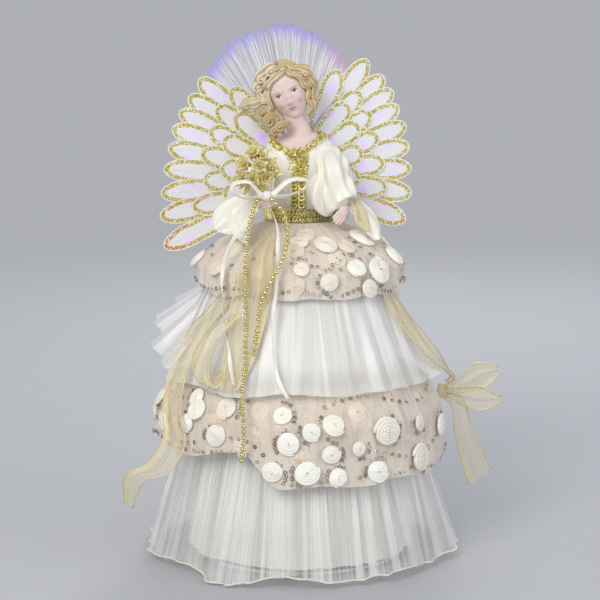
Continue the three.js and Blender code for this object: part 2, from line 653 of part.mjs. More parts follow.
// Domed rosette seated in a skirt layer
function rosette(layer, angleDegrees, drop, radius) {
  const angle = radians(angleDegrees);
  const centre = clothPoint(layer, angle, drop);
  const out = clothNormal(layer, angle, drop);
  const side = aroundAxis(angle + Math.PI / 2, 1, 0);
  const up = side.clone().cross(out).normalize();
  return ringSkin(rosetteRingShares.map(([width, height]) => Array.from({ length: rosetteSides }, (_, i) => {
    const turn = (i / rosetteSides) * 2 * Math.PI;
    return centre.clone().addScaledVector(side, radius * width * Math.cos(turn))
      .addScaledVector(up, radius * width * Math.sin(turn))
      .addScaledVector(out, height < 0 ? -rosetteRoot : height * rosetteHeight);
  })));
}
function rosetteTier(name, layer, frontShares, backCount) {
  const back = Array.from({ length: backCount }, (_, i) => [
    backRosetteFirstAngle + ((backRosetteLastAngle - backRosetteFirstAngle) * i) / (backCount - 1),
    backRosetteDropShares[i % backRosetteDropShares.length],
    backRosetteRadiusShares[i % backRosetteRadiusShares.length]]);
  const rosettes = [...frontShares, ...back].map(([angle, drop, share]) =>
    rosette(layer, angle, drop, share * rosetteRadius));
  return piece(name, geometryOf(joined([clothSkin(layer, tierColumns), ...rosettes])), 'champagne_net');
}

// Rolled hem along the lower organza skirt
function hemTrim() {
  const rings = Array.from({ length: tulleColumns }, (_, i) => {
    const angle = (i / tulleColumns) * 2 * Math.PI;
    const edge = clothPoint(lowerTulle, angle, 1, hemTrimRadius + clearance);
    return Array.from({ length: hemTrimSides }, (_unused, j) => {
      const turn = (j / hemTrimSides) * 2 * Math.PI;
      const [across, up] = [hemTrimRadius * Math.cos(turn), hemTrimRadius * (1 + Math.sin(turn))];
      return edge.clone().add(aroundAxis(angle, across, up));
    });
  });
  return piece('hem_trim', ringSkin(rings, true), 'gold_organza');
}

// Base ring, support cone and waist plate
const coneLow = baseRingThickness + clearance;
const coneSlope = (coneBaseRadius - coneTopRadius) / (coneTopHeight - coneLow);
const coneInnerRadiusAt = (height) => coneBaseRadius - coneWall - coneSlope * (height - coneLow);
const coneTilt = Math.atan(coneSlope);
function baseRing() {
  const spigotTop = baseRingThickness + baseSpigotHeight;
  const spigotRadius = coneInnerRadiusAt(coneLow + baseSpigotHeight) - clearance;
  const spigotInner = spigotRadius - baseSpigotWall;
  return piece('base_ring', revolved([[baseRingInnerRadius, 0], [baseRingOuterRadius, 0],
    [baseRingOuterRadius, baseRingThickness], [spigotRadius, baseRingThickness], [spigotRadius, spigotTop],
    [spigotInner, spigotTop], [spigotInner, baseRingThickness], [baseRingInnerRadius, baseRingThickness]]),
  'white_plastic');
}
function supportCone() {
  const shell = revolved([[coneBaseRadius, coneLow], [coneTopRadius, coneTopHeight],
    [coneTopRadius - coneWall, coneTopHeight], [coneBaseRadius - coneWall, coneLow]]);
  const holes = screwPlaces.map((place) =>
    inCaseFrame(screwCylinder(screwShankRadius + clearance, 2 * (coneWall + cutOverrun), coneWall / 2, place)));
  return piece('support_cone', geometryOf(without(solidOf(shell), holes)), 'white_plastic');
}
function waistPlate() {
  const plate = uprightCylinder(waistPlateRadius, waistPlateLow, waistPlateThickness, 0, 0, coneFacets);
  const holeLength = waistPlateThickness + 2 * cutOverrun;
  const hole = uprightCylinder(bundleHoleRadius, waistPlateLow - cutOverrun, holeLength, 0, bundleHoleBack);
  return piece('waist_plate', geometryOf(without(solidOf(plate), [hole])), 'white_plastic');
}

// Torso core and the shells that follow it: extra is how far outside the core the skin lies
function torsoRing(rise, width, depth, extra) {
  return ellipseRing(0, -torsoForward, torsoLow + rise, width / 2 + extra, depth / 2 + extra, torsoColumns);
}
const torsoStations = [[0, torsoWaistWidth, torsoWaistDepth], [torsoRibRise, torsoRibWidth, torsoRibDepth],
  [torsoChestRise, torsoChestWidth, torsoChestDepth], [torsoHeight, torsoShoulderWidth, torsoShoulderDepth]];
function torsoHalvesAt(rise) {
  const width = tableAt(torsoStations.map(([at, across]) => [at, across]), rise);
  const depth = tableAt(torsoStations.map(([at, , deep]) => [at, deep]), rise);
  return [width / 2, depth / 2];
}
const torsoSkin = (extra, low = 0, high = torsoHeight) =>
  ringSkin([low, torsoRibRise, torsoChestRise, high].map((rise) => {
    const [halfWidth, halfDepth] = torsoHalvesAt(rise);
    return torsoRing(rise, 2 * halfWidth, 2 * halfDepth, extra);
  }));
const armPlace = ([x, y, z]) =>
  new THREE.Vector3(x, y, z).multiplyScalar(torsoHeight).add(new THREE.Vector3(0, 0, torsoLow));
const armWireSkin = (radius) =>
  roundTube(armWireShares.map((share) => armPlace(share).toArray()), radius, armWireSteps, wireSides);
function torsoCore() {
  const core = without(solidOf(torsoSkin(0)), [armWireSkin(armWireRadius + clearance)]);
  return piece('torso_core', geometryOf(core), 'foam_core');
}
const bodiceLow = underskirtTopHeight + clearance - torsoLow;
const bodiceOuter = clearance + bodiceThickness;
function bodice() {
  const high = torsoHeight - clearance;
  const shell = without(solidOf(torsoSkin(bodiceOuter, bodiceLow, high)),
    [torsoSkin(clearance, bodiceLow - cutOverrun, high + cutOverrun), armWireSkin(armWireRadius + clearance)]);
  return piece('bodice', geometryOf(shell), 'white_satin');
}
function sequinBelt() {
  const low = underskirtTopHeight + clearance;
  return piece('sequin_belt', revolved([[beltRadius, low], [beltRadius + beltThickness, low],
    [beltRadius + beltThickness, low + beltHeight], [beltRadius, low + beltHeight]]), 'gold_sequin');
}
function sequinPlacket() {
  const low = underskirtTopHeight + beltHeight + 2 * clearance - torsoLow;
  const high = torsoHeight - 2 * clearance;
  const seat = bodiceOuter + clearance;
  const stations = [low, torsoRibRise, torsoChestRise, high];
  const rings = stations.map((rise) => {
    const [halfWidth, halfDepth] = torsoHalvesAt(rise);
    const arc = (extra) => Array.from({ length: placketColumns }, (_, i) => {
      const angle = radians(placketHalfAngle) * ((2 * i) / (placketColumns - 1) - 1);
      return new THREE.Vector3((halfWidth + extra) * Math.sin(angle),
        -torsoForward - (halfDepth + extra) * Math.cos(angle), torsoLow + rise);
    });
    return [...arc(seat), ...arc(seat + placketThickness).reverse()];
  });
  return piece('sequin_placket', ringSkin(rings), 'gold_sequin');
}

// Shoulder plate dome, used whole and grown by a clearance
const plateCentre = [0, -torsoForward, torsoTop + clearance - shoulderPlateSink];
const plateDome = (extra) => egg(plateCentre,
  [shoulderPlateWidth / 2 + extra, shoulderPlateDepth / 2 + extra, shoulderPlateDome + extra],
  plateColumns, plateRows);
function collarSkin(radius) {
  const [halfWidth, halfDepth] = [shoulderPlateWidth / 2, shoulderPlateDepth / 2];
  const rings = Array.from({ length: collarColumns }, (_, i) => {
    const angle = (i / collarColumns) * 2 * Math.PI;
    const [x, y] = [(collarWidth / 2) * Math.cos(angle), (collarDepth / 2) * Math.sin(angle)];
    const rise = shoulderPlateDome * Math.sqrt(1 - (x / halfWidth) ** 2 - (y / halfDepth) ** 2);
    const out = new THREE.Vector3(x / halfWidth ** 2, y / halfDepth ** 2, rise / shoulderPlateDome ** 2);
    out.normalize();
    const centre = new THREE.Vector3(...plateCentre).add(new THREE.Vector3(x, y, rise))
      .addScaledVector(out, collarRadius + clearance);
    const round = new THREE.Vector3(-collarWidth * Math.sin(angle), collarDepth * Math.cos(angle), 0);
    const across = out.clone().cross(round).normalize();
    return Array.from({ length: collarSides }, (_unused, j) => {
      const turn = (j / collarSides) * 2 * Math.PI;
      return centre.clone().addScaledVector(out, radius * Math.cos(turn))
        .addScaledVector(across, radius * Math.sin(turn));
    });
  });
  return ringSkin(rings, true);
}
function headBust() {
  const plateBase = torsoTop + clearance;
  const below = boxFrom([-shoulderPlateWidth, -shoulderPlateWidth, plateBase - 2 * shoulderPlateDome],
    [2 * shoulderPlateWidth, 2 * shoulderPlateWidth, 2 * shoulderPlateDome]);
  const plate = without(solidOf(plateDome(0)), [below]);
  const size = [headWidth, headDepth, headHeight];
  const inHead = (pair) => egg(...pair.map((shares) => shares.map((share, i) => share * size[i])));
  const skull = egg([0, 0, 0], size.map((value) => value / 2), 12, 8);
  const head = joined([skull, ...[noseShares, chinShares, ...hairShares].map(inHead)]);
  const placed = geometryOf(head).rotateX(radians(headNod)).rotateY(radians(headRoll)).translate(...headCentre);
  const neckBase = new THREE.Vector3(...plateCentre).add(new THREE.Vector3(0, 0, shoulderPlateDome / 2));
  const neckTop = new THREE.Vector3(...headCentre).add(new THREE.Vector3(0, 0, -headHeight / 3));
  const neck = limbSkin([[neckBase, neckRadius, neckRadius], [neckTop, neckRadius, neckRadius]], 14);
  return piece('head_bust', geometryOf(plate.add(solidOf(neck)).add(solidOf(placed))), 'resin_paint');
}

// Sleeves, forearms with hands, and the cuff drapes
const sleeveStations = (shares, extra) => shares.map(([x, y, z, r]) =>
  [armPlace([x, y, z]), r * torsoHeight + extra, r * torsoHeight + extra]);
function forearmSkins(shares, handShares, extra) {
  const [elbow, wrist] = shares.map(armPlace);
  const hand = armPlace(handShares);
  const arm = limbSkin([[elbow, forearmRadius + extra, forearmRadius + extra],
    [wrist, wristRadius + extra, wristRadius + extra], [hand, wristRadius + extra, wristRadius + extra]], 8);
  const palmHalves = [palmRadius, wristRadius, palmRadius * palmHeightShare].map((half) => half + extra);
  return [arm, egg(hand.toArray(), palmHalves)];
}
function fingerSkins(handShares, fingerSide, extra) {
  const hand = armPlace(handShares);
  return Array.from({ length: 4 }, (_, i) => {
    const root = hand.clone().add(new THREE.Vector3((i - 1.5) * fingerPitchShare * fingerRadius, 0, 0));
    const tip = root.clone().add(new THREE.Vector3(fingerSide * fingerLeanShare * fingerLength,
      -fingerRadius, -fingerLength - extra));
    return limbSkin([[root, fingerRadius + extra, fingerRadius + extra],
      [tip, fingerRadius * fingerTipShare + extra, fingerRadius * fingerTipShare + extra]], 4);
  });
}
function forearmHand(name, shares, handShares, fingerSide) {
  const skins = [...forearmSkins(shares, handShares, 0), ...fingerSkins(handShares, fingerSide, 0)];
  return piece(name, geometryOf(joined(skins)), 'resin_paint');
}
function sleeve(name, shares, forearmShares, handShares) {
  const tools = [torsoSkin(bodiceOuter + clearance, 0, torsoHeight), plateDome(clearance),
    collarSkin(collarRadius + clearance), ...forearmSkins(forearmShares, handShares, clearance),
    armWireSkin(armWireRadius + clearance)];
  return piece(name, geometryOf(without(solidOf(limbSkin(sleeveStations(shares, 0))), tools)), 'white_satin');
}
function cuffDrape(name, shares, sleeveShares, forearmShares, handShares) {
  const stations = shares.map(([x, y, z, wide, deep]) =>
    [armPlace([x, y, z]), wide * torsoHeight, deep * torsoHeight]);
  const tools = [limbSkin(sleeveStations(sleeveShares, clearance)),
    ...forearmSkins(forearmShares, handShares, clearance)];
  return piece(name, geometryOf(without(solidOf(limbSkin(stations, 14)), tools)), 'white_satin');
}

// Bouquet with its stems, and the satin bow tied round them
const bouquetTop = armPlace(leftHandShares).add(new THREE.Vector3(bouquetSide, -bouquetForward, bouquetRise));
const stemGrip = armPlace(leftHandShares).add(
  new THREE.Vector3(-palmRadius, -(wristRadius + stemGripShare * stemRadius), 0));
const stemAxis = stemGrip.clone().sub(bouquetTop).normalize();
const stemAt = (reach) => bouquetTop.clone().addScaledVector(stemAxis, reach);
const knotReach = bouquetRadius + bowKnotRadius;
const bowKnot = stemAt(knotReach).add(
  new THREE.Vector3(stemRadius / 4, -(stemRadius + bowKnotRadius + clearance), 0));
function bouquet() {
  const blossoms = blossomShares.map((shares) => egg(
    shares.map((share, i) => bouquetTop.getComponent(i) + share * bouquetRadius),
    [blossomRadius, blossomRadius, blossomRadius], 6, 4));
  const stem = limbSkin([[bouquetTop, stemRadius, stemRadius], [stemAt(knotReach), stemRadius, stemRadius],
    [stemAt(stemLength), stemRadius * stemFootShare, stemRadius * stemFootShare]], 8);
  const tools = [limbSkin(sleeveStations(leftSleeveShares, clearance)),
    ...forearmSkins(leftForearmShares, leftHandShares, clearance),
    ...fingerSkins(leftHandShares, 1, clearance)];
  return piece('bouquet', geometryOf(without(joined([...blossoms, stem]), tools)), 'gold_sequin');
}
function satinBow() {
  const loops = [bowLeftLoopShares, bowRightLoopShares].map((shares) => {
    const points = [bowRootShares[0], ...shares, bowRootShares[1]].map((share) =>
      share.map((value, i) => value * bowLoopReach + bowKnot.getComponent(i)));
    return flatTube(points, satinWidth, satinThickness, bowSteps, wireSides);
  });
  const knot = egg(bowKnot.toArray(), [bowKnotRadius, bowKnotRadius, bowKnotRadius], 8, 6);
  return piece('satin_bow', geometryOf(joined([knot, ...loops])), 'white_satin');
}

// Ribbons draped over the skirt layers
function drapedRibbon(name, stations) {
  const rings = stations.map(([layer, angle, drop, lift, width]) => {
    const centre = radians(angle);
    const reach = clothPoint(layer, centre, drop).setZ(0).length();
    const half = (width * ribbonWidth) / 2 / reach;
    const edge = (extra) => Array.from({ length: ribbonColumns + 1 }, (_, i) =>
      clothPoint(layer, centre + half * ((2 * i) / ribbonColumns - 1), drop, lift * ribbonWidth + extra));
    return [...edge(0), ...edge(ribbonThickness).reverse()];
  });
  return piece(name, ringSkin(rings), 'gold_organza');
}
const onLayer = (layer, shares) => shares.map((row) => [layer, ...row]);
function rightBow() {
  const knotCentre = clothPoint(lowerTier, radians(rightBowAngle), rightBowDropShare,
    bowRibbonThickness + 4 * clearance);
  const knot = egg(knotCentre.toArray(), [bowRibbonThickness, ribbonWidth / 4, ribbonWidth / 4], 8, 6);
  const flat = new THREE.Vector3(0, 1, 0);
  const loops = rightBowLoopShares.map((shares) => {
    const stations = shares.map(([x, y, z, width]) =>
      [new THREE.Vector3(x, y, z).multiplyScalar(ribbonWidth).add(knotCentre), width * ribbonWidth]);
    const points = [[knotCentre, ribbonWidth / 8], ...stations];
    return ringSkin(points.map(([centre, half], i) => {
      const before = points[Math.max(i - 1, 0)][0];
      const after = points[Math.min(i + 1, points.length - 1)][0];
      const side = after.clone().sub(before).cross(flat).normalize();
      return Array.from({ length: bowLoopSides }, (_, j) => {
        const turn = (j / bowLoopSides) * 2 * Math.PI;
        return centre.clone().addScaledVector(side, half * Math.cos(turn))
          .addScaledVector(flat, (bowRibbonThickness / 2) * Math.sin(turn));
      });
    }));
  });
  return piece('right_ribbon_bow', geometryOf(joined([knot, ...loops])), 'gold_organza');
}

// Wings: layers of feathers on a back plate, each wing with a wire and a tuft of fibres behind it
const bodiceBack = -torsoForward + torsoChestDepth / 2 + bodiceOuter;
const backPlateFront = bodiceBack + clearance;
const firstLayerFront = backPlateFront + backPlateThickness + clearance;
function featherGeometry(root, tip, front) {
  const along = new THREE.Vector2(...tip).sub(new THREE.Vector2(...root));
  const length = along.length();
  const upper = featherOutlineShares.map(([at, wide]) => [at * length, (wide * featherWidth) / 2]);
  const outline = [...upper, [length, 0], ...upper.slice().reverse().map(([at, wide]) => [at, -wide])];
  const shape = new THREE.Shape(outline.map(([x, y]) => new THREE.Vector2(x, y)));
  return new THREE.ExtrudeGeometry(shape, { depth: featherThickness, bevelEnabled: false })
    .rotateZ(along.angle()).rotateX(Math.PI / 2).translate(root[0], front + featherThickness, root[1]);
}
function wingLayer(name, hub, tipShares, layer, side) {
  const front = firstLayerFront + layer * wingLayerPitch;
  const feathers = tipShares.map((share, i) => {
    const along = i / (tipShares.length - 1);
    const fall = featherRootFirstShare + (featherRootLastShare - featherRootFirstShare) * along;
    const root = [side * featherRootSideShare * wingReach, hub[1] + fall * wingReach];
    return featherGeometry(root, share.map((value, j) => hub[j] + value * wingReach), front);
  });
  return piece(name, geometryOf(joined(feathers)), 'feather_cloth');
}
const wireCentreBack = firstLayerFront + 2 * wingLayerPitch + featherThickness + clearance + wingWireRadius;
function wingWire(name, hub, side) {
  const points = wingWireShares.map(([x, z]) =>
    [hub[0] + side * x * wingReach, wireCentreBack, hub[1] + z * wingReach]);
  return piece(name, roundTube(points, wingWireRadius, wingWireSteps, wireSides), 'steel');
}
function wingFibres(name, hub, side) {
  const back = wireCentreBack + wingWireRadius + clearance + wingFibresRadius;
  const blockSide = fanBlockWidth / 2 + clearance;
  const height = fanBlockLow + fanBlockHeight / 3;
  const start = [blockSide, blockSide + wingFibresRadius, blockSide + 4 * wingFibresRadius].map((reach, i) =>
    [side * reach, i < 2 ? fanBlockBack - fanBlockDepth / 2 + wingFibresRadius : back, height]);
  const ends = wingWireShares.slice(1).map(([x, z]) =>
    [hub[0] + side * x * wingReach, back, hub[1] + (z + featherRootFirstShare) * wingReach]);
  const tuft = roundTube([...start, ...ends], wingFibresRadius, wingFibresSteps, wireSides);
  return piece(name, tuft, 'clear_fibre');
}
function backPlate() {
  return piece('wing_back_plate', boxFrom([-backPlateWidth / 2, backPlateFront, backPlateLow],
    [backPlateWidth, backPlateThickness, backPlateHeight]), 'white_plastic');
}

// Light carrier disc inside the cone, the module on it, and the fibres
const carrierTop = carrierHeight + carrierThickness;
const moduleLow = carrierTop + clearance;
const moduleTop = moduleLow + moduleLength;
const lampLow = moduleTop + clearance;
const bundleLow = lampLow + lampLength + clearance;
const leadCaseTop = leadCaseEnd[leadCaseEnd.length - 1][0];
const leadOnCone = (height, gap) => [leadSide, coneInnerRadiusAt(height) - gap, height];
const batteryLeadRoute = [
  ...leadCaseEnd.map(([height, gap]) => leadOnCone(height, gap)),
  ...leadClimbShares.map((share) => leadOnCone(leadCaseTop + (carrierHeight - leadCaseTop) * share, leadConeGap)),
  ...leadModuleEnd.map(([rise, behind]) => [leadSide, moduleBack + moduleRadius + behind, carrierHeight + rise])];
function ledCarrier() {
  const disc = revolved([[0, carrierHeight], [coneInnerRadiusAt(carrierHeight) - clearance, carrierHeight],
    [coneInnerRadiusAt(carrierTop) - clearance, carrierTop], [0, carrierTop]]);
  const slotLow = [leadSide - leadHoleRadius, moduleBack + moduleRadius + 2 * clearance,
    carrierHeight - cutOverrun];
  const slot = boxFrom(slotLow, [2 * leadHoleRadius, coneTopRadius, carrierThickness + 2 * cutOverrun]);
  return piece('led_carrier', geometryOf(without(solidOf(disc), [slot])), 'white_plastic');
}
function bundlePoints() {
  const back = bundleHoleBack + bundleRadius;
  return [[0, moduleBack, bundleLow], [0, moduleBack, bundleLow + ferruleLength / 2],
    [0, bundleHoleBack - bundleRadius + clearance, waistPlateLow - bundleRadius],
    [0, back, torsoLow + bundleRadius], [0, back, torsoLow + torsoRibRise / 2],
    [0, firstLayerFront + bundleRadius + featherThickness, backPlateLow],
    [0, fanBlockBack, fanBlockLow - 2 * bundleRadius], [0, fanBlockBack, fanBlockLow - clearance]];
}
function fibreFerrule() {
  const bore = bundleRadius + ferruleBoreGap;
  const outside = bore + ferruleWall;
  const [low, high] = [moduleTop + clearance, moduleTop + clearance + ferruleLength];
  const sleeveOf = revolved([[bore, low], [outside, low], [outside, high], [bore, high]], roundFacets);
  return piece('fibre_ferrule', sleeveOf.translate(0, moduleBack, 0), 'black_plastic');
}
function fibreFan() {
  const blockTop = fanBlockLow + fanBlockHeight;
  const [left, front] = [-fanBlockWidth / 2, fanBlockBack - fanBlockDepth / 2];
  const [right, back] = [left + fanBlockWidth, front + fanBlockDepth];
  const inset = 4 * strandRadius;
  const roots = [];
  const tips = [];
  for (let row = 0; row < fanRows; row++) {
    const depthShare = (row + 0.5) / fanRows;
    for (let column = 0; column < fanColumns; column++) {
      const share = (column + (row % 2) / 2) / (fanColumns - 0.5);
      const turn = radians(fanSweepLow + (fanSweepHigh - fanSweepLow) * share);
      const reach = fanRadius * (1 - strandStaggerShare * ((row * 3 + column * 2) % 4));
      const x = (share - 0.5) * (fanBlockWidth - 2 * inset);
      const y = fanBlockBack + (depthShare - 0.5) * (fanBlockDepth - inset);
      roots.push(Array.from({ length: strandSides }, (_, i) =>
        new THREE.Vector2(strandRadius).rotateAround(new THREE.Vector2(), (i / strandSides) * 2 * Math.PI)
          .add(new THREE.Vector2(x, y))));
      tips.push(new THREE.Vector3(fanCentreSide + reach * Math.sin(turn),
        fanBlockBack + (depthShare - fanLeanShare) * fanSpread, fanCentreHeight + reach * Math.cos(turn)));
    }
  }
  const corners = [[left, front], [right, front], [right, back], [left, back]]
    .map(([x, y]) => new THREE.Vector2(x, y));
  const topFaces = THREE.ShapeUtils.triangulateShape(corners, roots).flat();
  const points = [...corners, ...roots.flat()].map(({ x, y }) => new THREE.Vector3(x, y, blockTop));
  const tipStart = points.push(...tips) - tips.length;
  const floor = corners.map(({ x, y }) => new THREE.Vector3(x, y, fanBlockLow));
  const floorStart = points.push(...floor) - corners.length;
  const floorFaces = [0, 2, 1, 0, 3, 2].map((corner) => floorStart + corner);
  const faces = [...topFaces, ...floorFaces];
  for (let i = 0; i < corners.length; i++) {
    const beside = (i + 1) % corners.length;
    faces.push(floorStart + i, floorStart + beside, beside, floorStart + i, beside, i);
  }
  tips.forEach((_, strand) => {
    for (let i = 0; i < strandSides; i++) {
      const first = corners.length + strand * strandSides;
      faces.push(first + i, first + (i + 1) % strandSides, tipStart + strand);
    }
  });
  const geometry = new THREE.BufferGeometry().setFromPoints(points);
  geometry.setIndex(faces);
  return piece('halo_fibres', facingOut(geometry), 'clear_fibre');
}

// Battery case frame: its Y axis points out through the cone's wall, its Z axis runs up along it
function inCaseFrame(geometry) {
  return geometry.rotateX(coneTilt).translate(0, coneInnerRadiusAt(caseMiddleHeight), caseMiddleHeight);
}
const screwPlaces = [screwSpacing / 2, -screwSpacing / 2];
const screwCylinder = (radius, length, middle, place) =>
  new THREE.CylinderGeometry(radius, radius, length, roundFacets).translate(0, middle, place);
const bayWidth = 2 * cellPitch + 2 * cellRadius + 2 * clearance;
const bayLength = cellLength + cellTerminalLength + 2 * contactThickness + 4 * clearance;
const caseWidth = bayWidth + 2 * caseWall;
const caseHeight = bayLength + 2 * caseWall + switchBlockHeight;
const caseBackFace = -caseStandoff;
const bayBackFace = caseBackFace - caseWall;
const bayFrontFace = bayBackFace - bayDepth;
const coverFrontFace = bayFrontFace - coverThickness - 2 * clearance;
const caseFrontFace = coverFrontFace - coverLipThickness;
const caseLow = -caseHeight / 2;
const bayLow = caseLow + caseWall;
const coverWidth = bayWidth + caseWall;
function batteryCase() {
  const body = boxFrom([-caseWidth / 2, caseFrontFace, caseLow],
    [caseWidth, caseBackFace - caseFrontFace, caseHeight]);
  const bay = boxFrom([-bayWidth / 2, bayFrontFace - cutOverrun, bayLow],
    [bayWidth, bayDepth + cutOverrun, bayLength]);
  const trackLength = bayLength + 2 * caseWall + cutOverrun;
  const track = boxFrom([-coverWidth / 2 - clearance, coverFrontFace, caseLow - cutOverrun],
    [coverWidth + 2 * clearance, bayFrontFace - coverFrontFace, trackLength]);
  const window = boxFrom([-coverWidth / 2 + coverLipWidth, caseFrontFace - cutOverrun, caseLow - cutOverrun],
    [coverWidth - 2 * coverLipWidth, coverLipThickness + 2 * cutOverrun, trackLength]);
  const slotWidth = switchLength + switchTravel + 2 * clearance;
  const slot = boxFrom([-slotWidth / 2, caseFrontFace - cutOverrun, switchLow - clearance],
    [slotWidth, switchDepth + clearance + cutOverrun, switchHeight + 2 * clearance]);
  const bossLength = caseStandoff - 2 * clearance + caseWall;
  const bosses = screwPlaces.map((place) =>
    screwCylinder(screwBossRadius, bossLength, bossLength / 2 + caseBackFace - caseWall, place));
  const bores = screwPlaces.map((place) =>
    screwCylinder(screwShankRadius + clearance, caseStandoff, clearance - caseStandoff / 2, place));
  const shell = without(joined([body, ...bosses]), [bay, track, window, slot, ...bores]);
  return piece('battery_case', inCaseFrame(geometryOf(shell)), 'white_plastic');
}
const switchLow = bayLow + bayLength + caseWall + (switchBlockHeight - switchHeight) / 2;
function switchSlider() {
  const front = caseFrontFace - switchProud;
  const slider = boxFrom([-(switchLength + switchTravel) / 2, front, switchLow],
    [switchLength, switchProud + switchDepth, switchHeight]);
  return piece('switch_slider', inCaseFrame(slider), 'black_plastic');
}
function batteryCover() {
  const plate = boxFrom([-coverWidth / 2, coverFrontFace + clearance, caseLow + clearance],
    [coverWidth, coverThickness, bayLength + 2 * caseWall - 2 * clearance]);
  const ribs = Array.from({ length: coverRibCount }, (_, i) => boxFrom(
    [-coverWidth / 4, coverFrontFace + clearance - coverRibDepth, caseLow + caseHeight / 8 + i * coverRibPitch],
    [coverWidth / 2, coverRibDepth + coverThickness / 2, coverRibHeight]));
  return piece('battery_cover', inCaseFrame(geometryOf(joined([plate, ...ribs]))), 'white_plastic');
}
function batteryCell(number) {
  const low = bayLow + contactThickness + 2 * clearance;
  const x = (number - 2) * cellPitch;
  const y = bayBackFace - cellRadius - clearance;
  const turned = number % 2 === 0;
  const can = uprightCylinder(cellRadius, turned ? low + cellTerminalLength : low, cellLength, x, y);
  const terminal = uprightCylinder(cellTerminalRadius, turned ? low : low + cellLength - cellTerminalLength,
    2 * cellTerminalLength, x, y, roundFacets);
  return piece(`battery_cell_${number}`, inCaseFrame(geometryOf(joined([can, terminal]))), 'cell_wrap');
}
function contactPlate(name, low) {
  return piece(name, inCaseFrame(boxFrom([-bayWidth / 2 + clearance, bayFrontFace + clearance, low],
    [bayWidth - 2 * clearance, bayDepth - 2 * clearance, contactThickness])), 'steel');
}
function caseScrew(name, place) {
  const shankLength = coneWall + clearance + screwEngagement;
  const wholeLength = shankLength + screwHeadHeight;
  const headLow = coneWall + clearance;
  const shank = screwCylinder(screwShankRadius, wholeLength, headLow + screwHeadHeight - wholeLength / 2, place);
  const head = screwCylinder(screwHeadRadius, screwHeadHeight, headLow + clearance + screwHeadHeight / 2, place);
  return piece(name, inCaseFrame(geometryOf(joined([shank, head]))), 'steel');
}

// The assembly
const topper = new THREE.Group();
const structure = [baseRing(), supportCone(), waistPlate(), torsoCore(), headBust(),
  piece('arm_wire', armWireSkin(armWireRadius), 'steel')];
const lighting = [batteryCase(), batteryCover(), switchSlider(), ...[1, 2, 3].map(batteryCell),
  contactPlate('contact_plate_lower', bayLow + clearance),
  contactPlate('contact_plate_upper', bayLow + bayLength - clearance - contactThickness),
  caseScrew('case_screw_upper', screwPlaces[0]), caseScrew('case_screw_lower', screwPlaces[1]),
  piece('battery_lead', roundTube(batteryLeadRoute, leadRadius), 'black_plastic'), ledCarrier(),
  piece('led_module', uprightCylinder(moduleRadius, moduleLow, moduleLength, 0, moduleBack), 'black_plastic'),
  piece('led_lamp', uprightCylinder(lampRadius, lampLow, lampLength, 0, moduleBack), 'clear_fibre'),
  fibreFerrule(), piece('fibre_bundle', roundTube(bundlePoints(), bundleRadius, bundleSteps), 'clear_fibre'),
  fibreFan()];
const dress = [bodice(), sequinBelt(), sequinPlacket(),
  piece('sequin_collar', collarSkin(collarRadius), 'gold_sequin'),
  sleeve('left_sleeve', leftSleeveShares, leftForearmShares, leftHandShares),
  sleeve('right_sleeve', rightSleeveShares, rightForearmShares, rightHandShares),
  forearmHand('left_forearm_hand', leftForearmShares, leftHandShares, 1),
  forearmHand('right_forearm_hand', rightForearmShares, rightHandShares, -1),
  cuffDrape('left_cuff_drape', leftDrapeShares, leftSleeveShares, leftForearmShares, leftHandShares),
  cuffDrape('right_cuff_drape', rightDrapeShares, rightSleeveShares, rightForearmShares, rightHandShares)];
const skirts = [piece('underskirt', clothSkin(underskirt, underskirtColumns), 'white_satin'),
  piece('lower_tulle_skirt', clothSkin(lowerTulle, tulleColumns), 'champagne_net'), hemTrim(),
  rosetteTier('lower_rosette_tier', lowerTier, lowerRosetteShares, lowerBackRosettes),
  piece('upper_tulle_skirt', clothSkin(upperTulle, tulleColumns), 'champagne_net'),
  rosetteTier('upper_rosette_tier', upperTier, upperRosetteShares, upperBackRosettes)];
const wings = [backPlate(), wingWire('left_wing_wire', leftHub, -1), wingWire('right_wing_wire', rightHub, 1),
  wingLayer('left_wing_long_feathers', leftHub, leftLongTipShares, 2, -1),
  wingLayer('left_wing_middle_feathers', leftHub, leftMiddleTipShares, 1, -1),
  wingLayer('left_wing_short_feathers', leftHub, leftShortTipShares, 0, -1),
  wingLayer('right_wing_long_feathers', rightHub, rightLongTipShares, 2, 1),
  wingLayer('right_wing_middle_feathers', rightHub, rightMiddleTipShares, 1, 1),
  wingLayer('right_wing_short_feathers', rightHub, rightShortTipShares, 0, 1),
  wingFibres('left_wing_fibres', leftHub, -1), wingFibres('right_wing_fibres', rightHub, 1)];
const trimmings = [bouquet(), satinBow(),
  piece('satin_tail_left', flatTube(satinTailLeftRoute, satinWidth, satinThickness), 'white_satin'),
  piece('satin_tail_right', flatTube(satinTailRightRoute, satinWidth, satinThickness), 'white_satin'),
  piece('bead_strand_long', roundTube(longBeadRoute, beadRadius), 'gold_sequin'),
  piece('bead_strand_second', roundTube(secondBeadRoute, beadRadius), 'gold_sequin'),
  drapedRibbon('front_ribbon',
    [...onLayer(upperTier, frontRibbonUpperShares), ...onLayer(upperTulle, frontRibbonLowerShares)]),
  drapedRibbon('left_ribbon',
    [...onLayer(upperTulle, leftSashUpperShares), ...onLayer(lowerTier, leftSashLowerShares)]),
  drapedRibbon('right_ribbon', onLayer(upperTulle, rightSashUpperShares)), rightBow()];
topper.add(...structure, ...lighting, ...dress, ...skirts, ...wings, ...trimmings);

export default topper;
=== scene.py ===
# %% [markdown]
# # Angel tree topper
# A doll in a gown of organza and net stands on a hidden cone that fits over the tip of a tree.
# The CAD model is loaded first as a fixed frame. Its soft solids are then replaced by real cloth,
# beads, feathers and hair, and its hard parts keep their shape and get a finish.
# Lengths in the tables are millimetres, as a sewing pattern gives them, and one factor makes them metres.

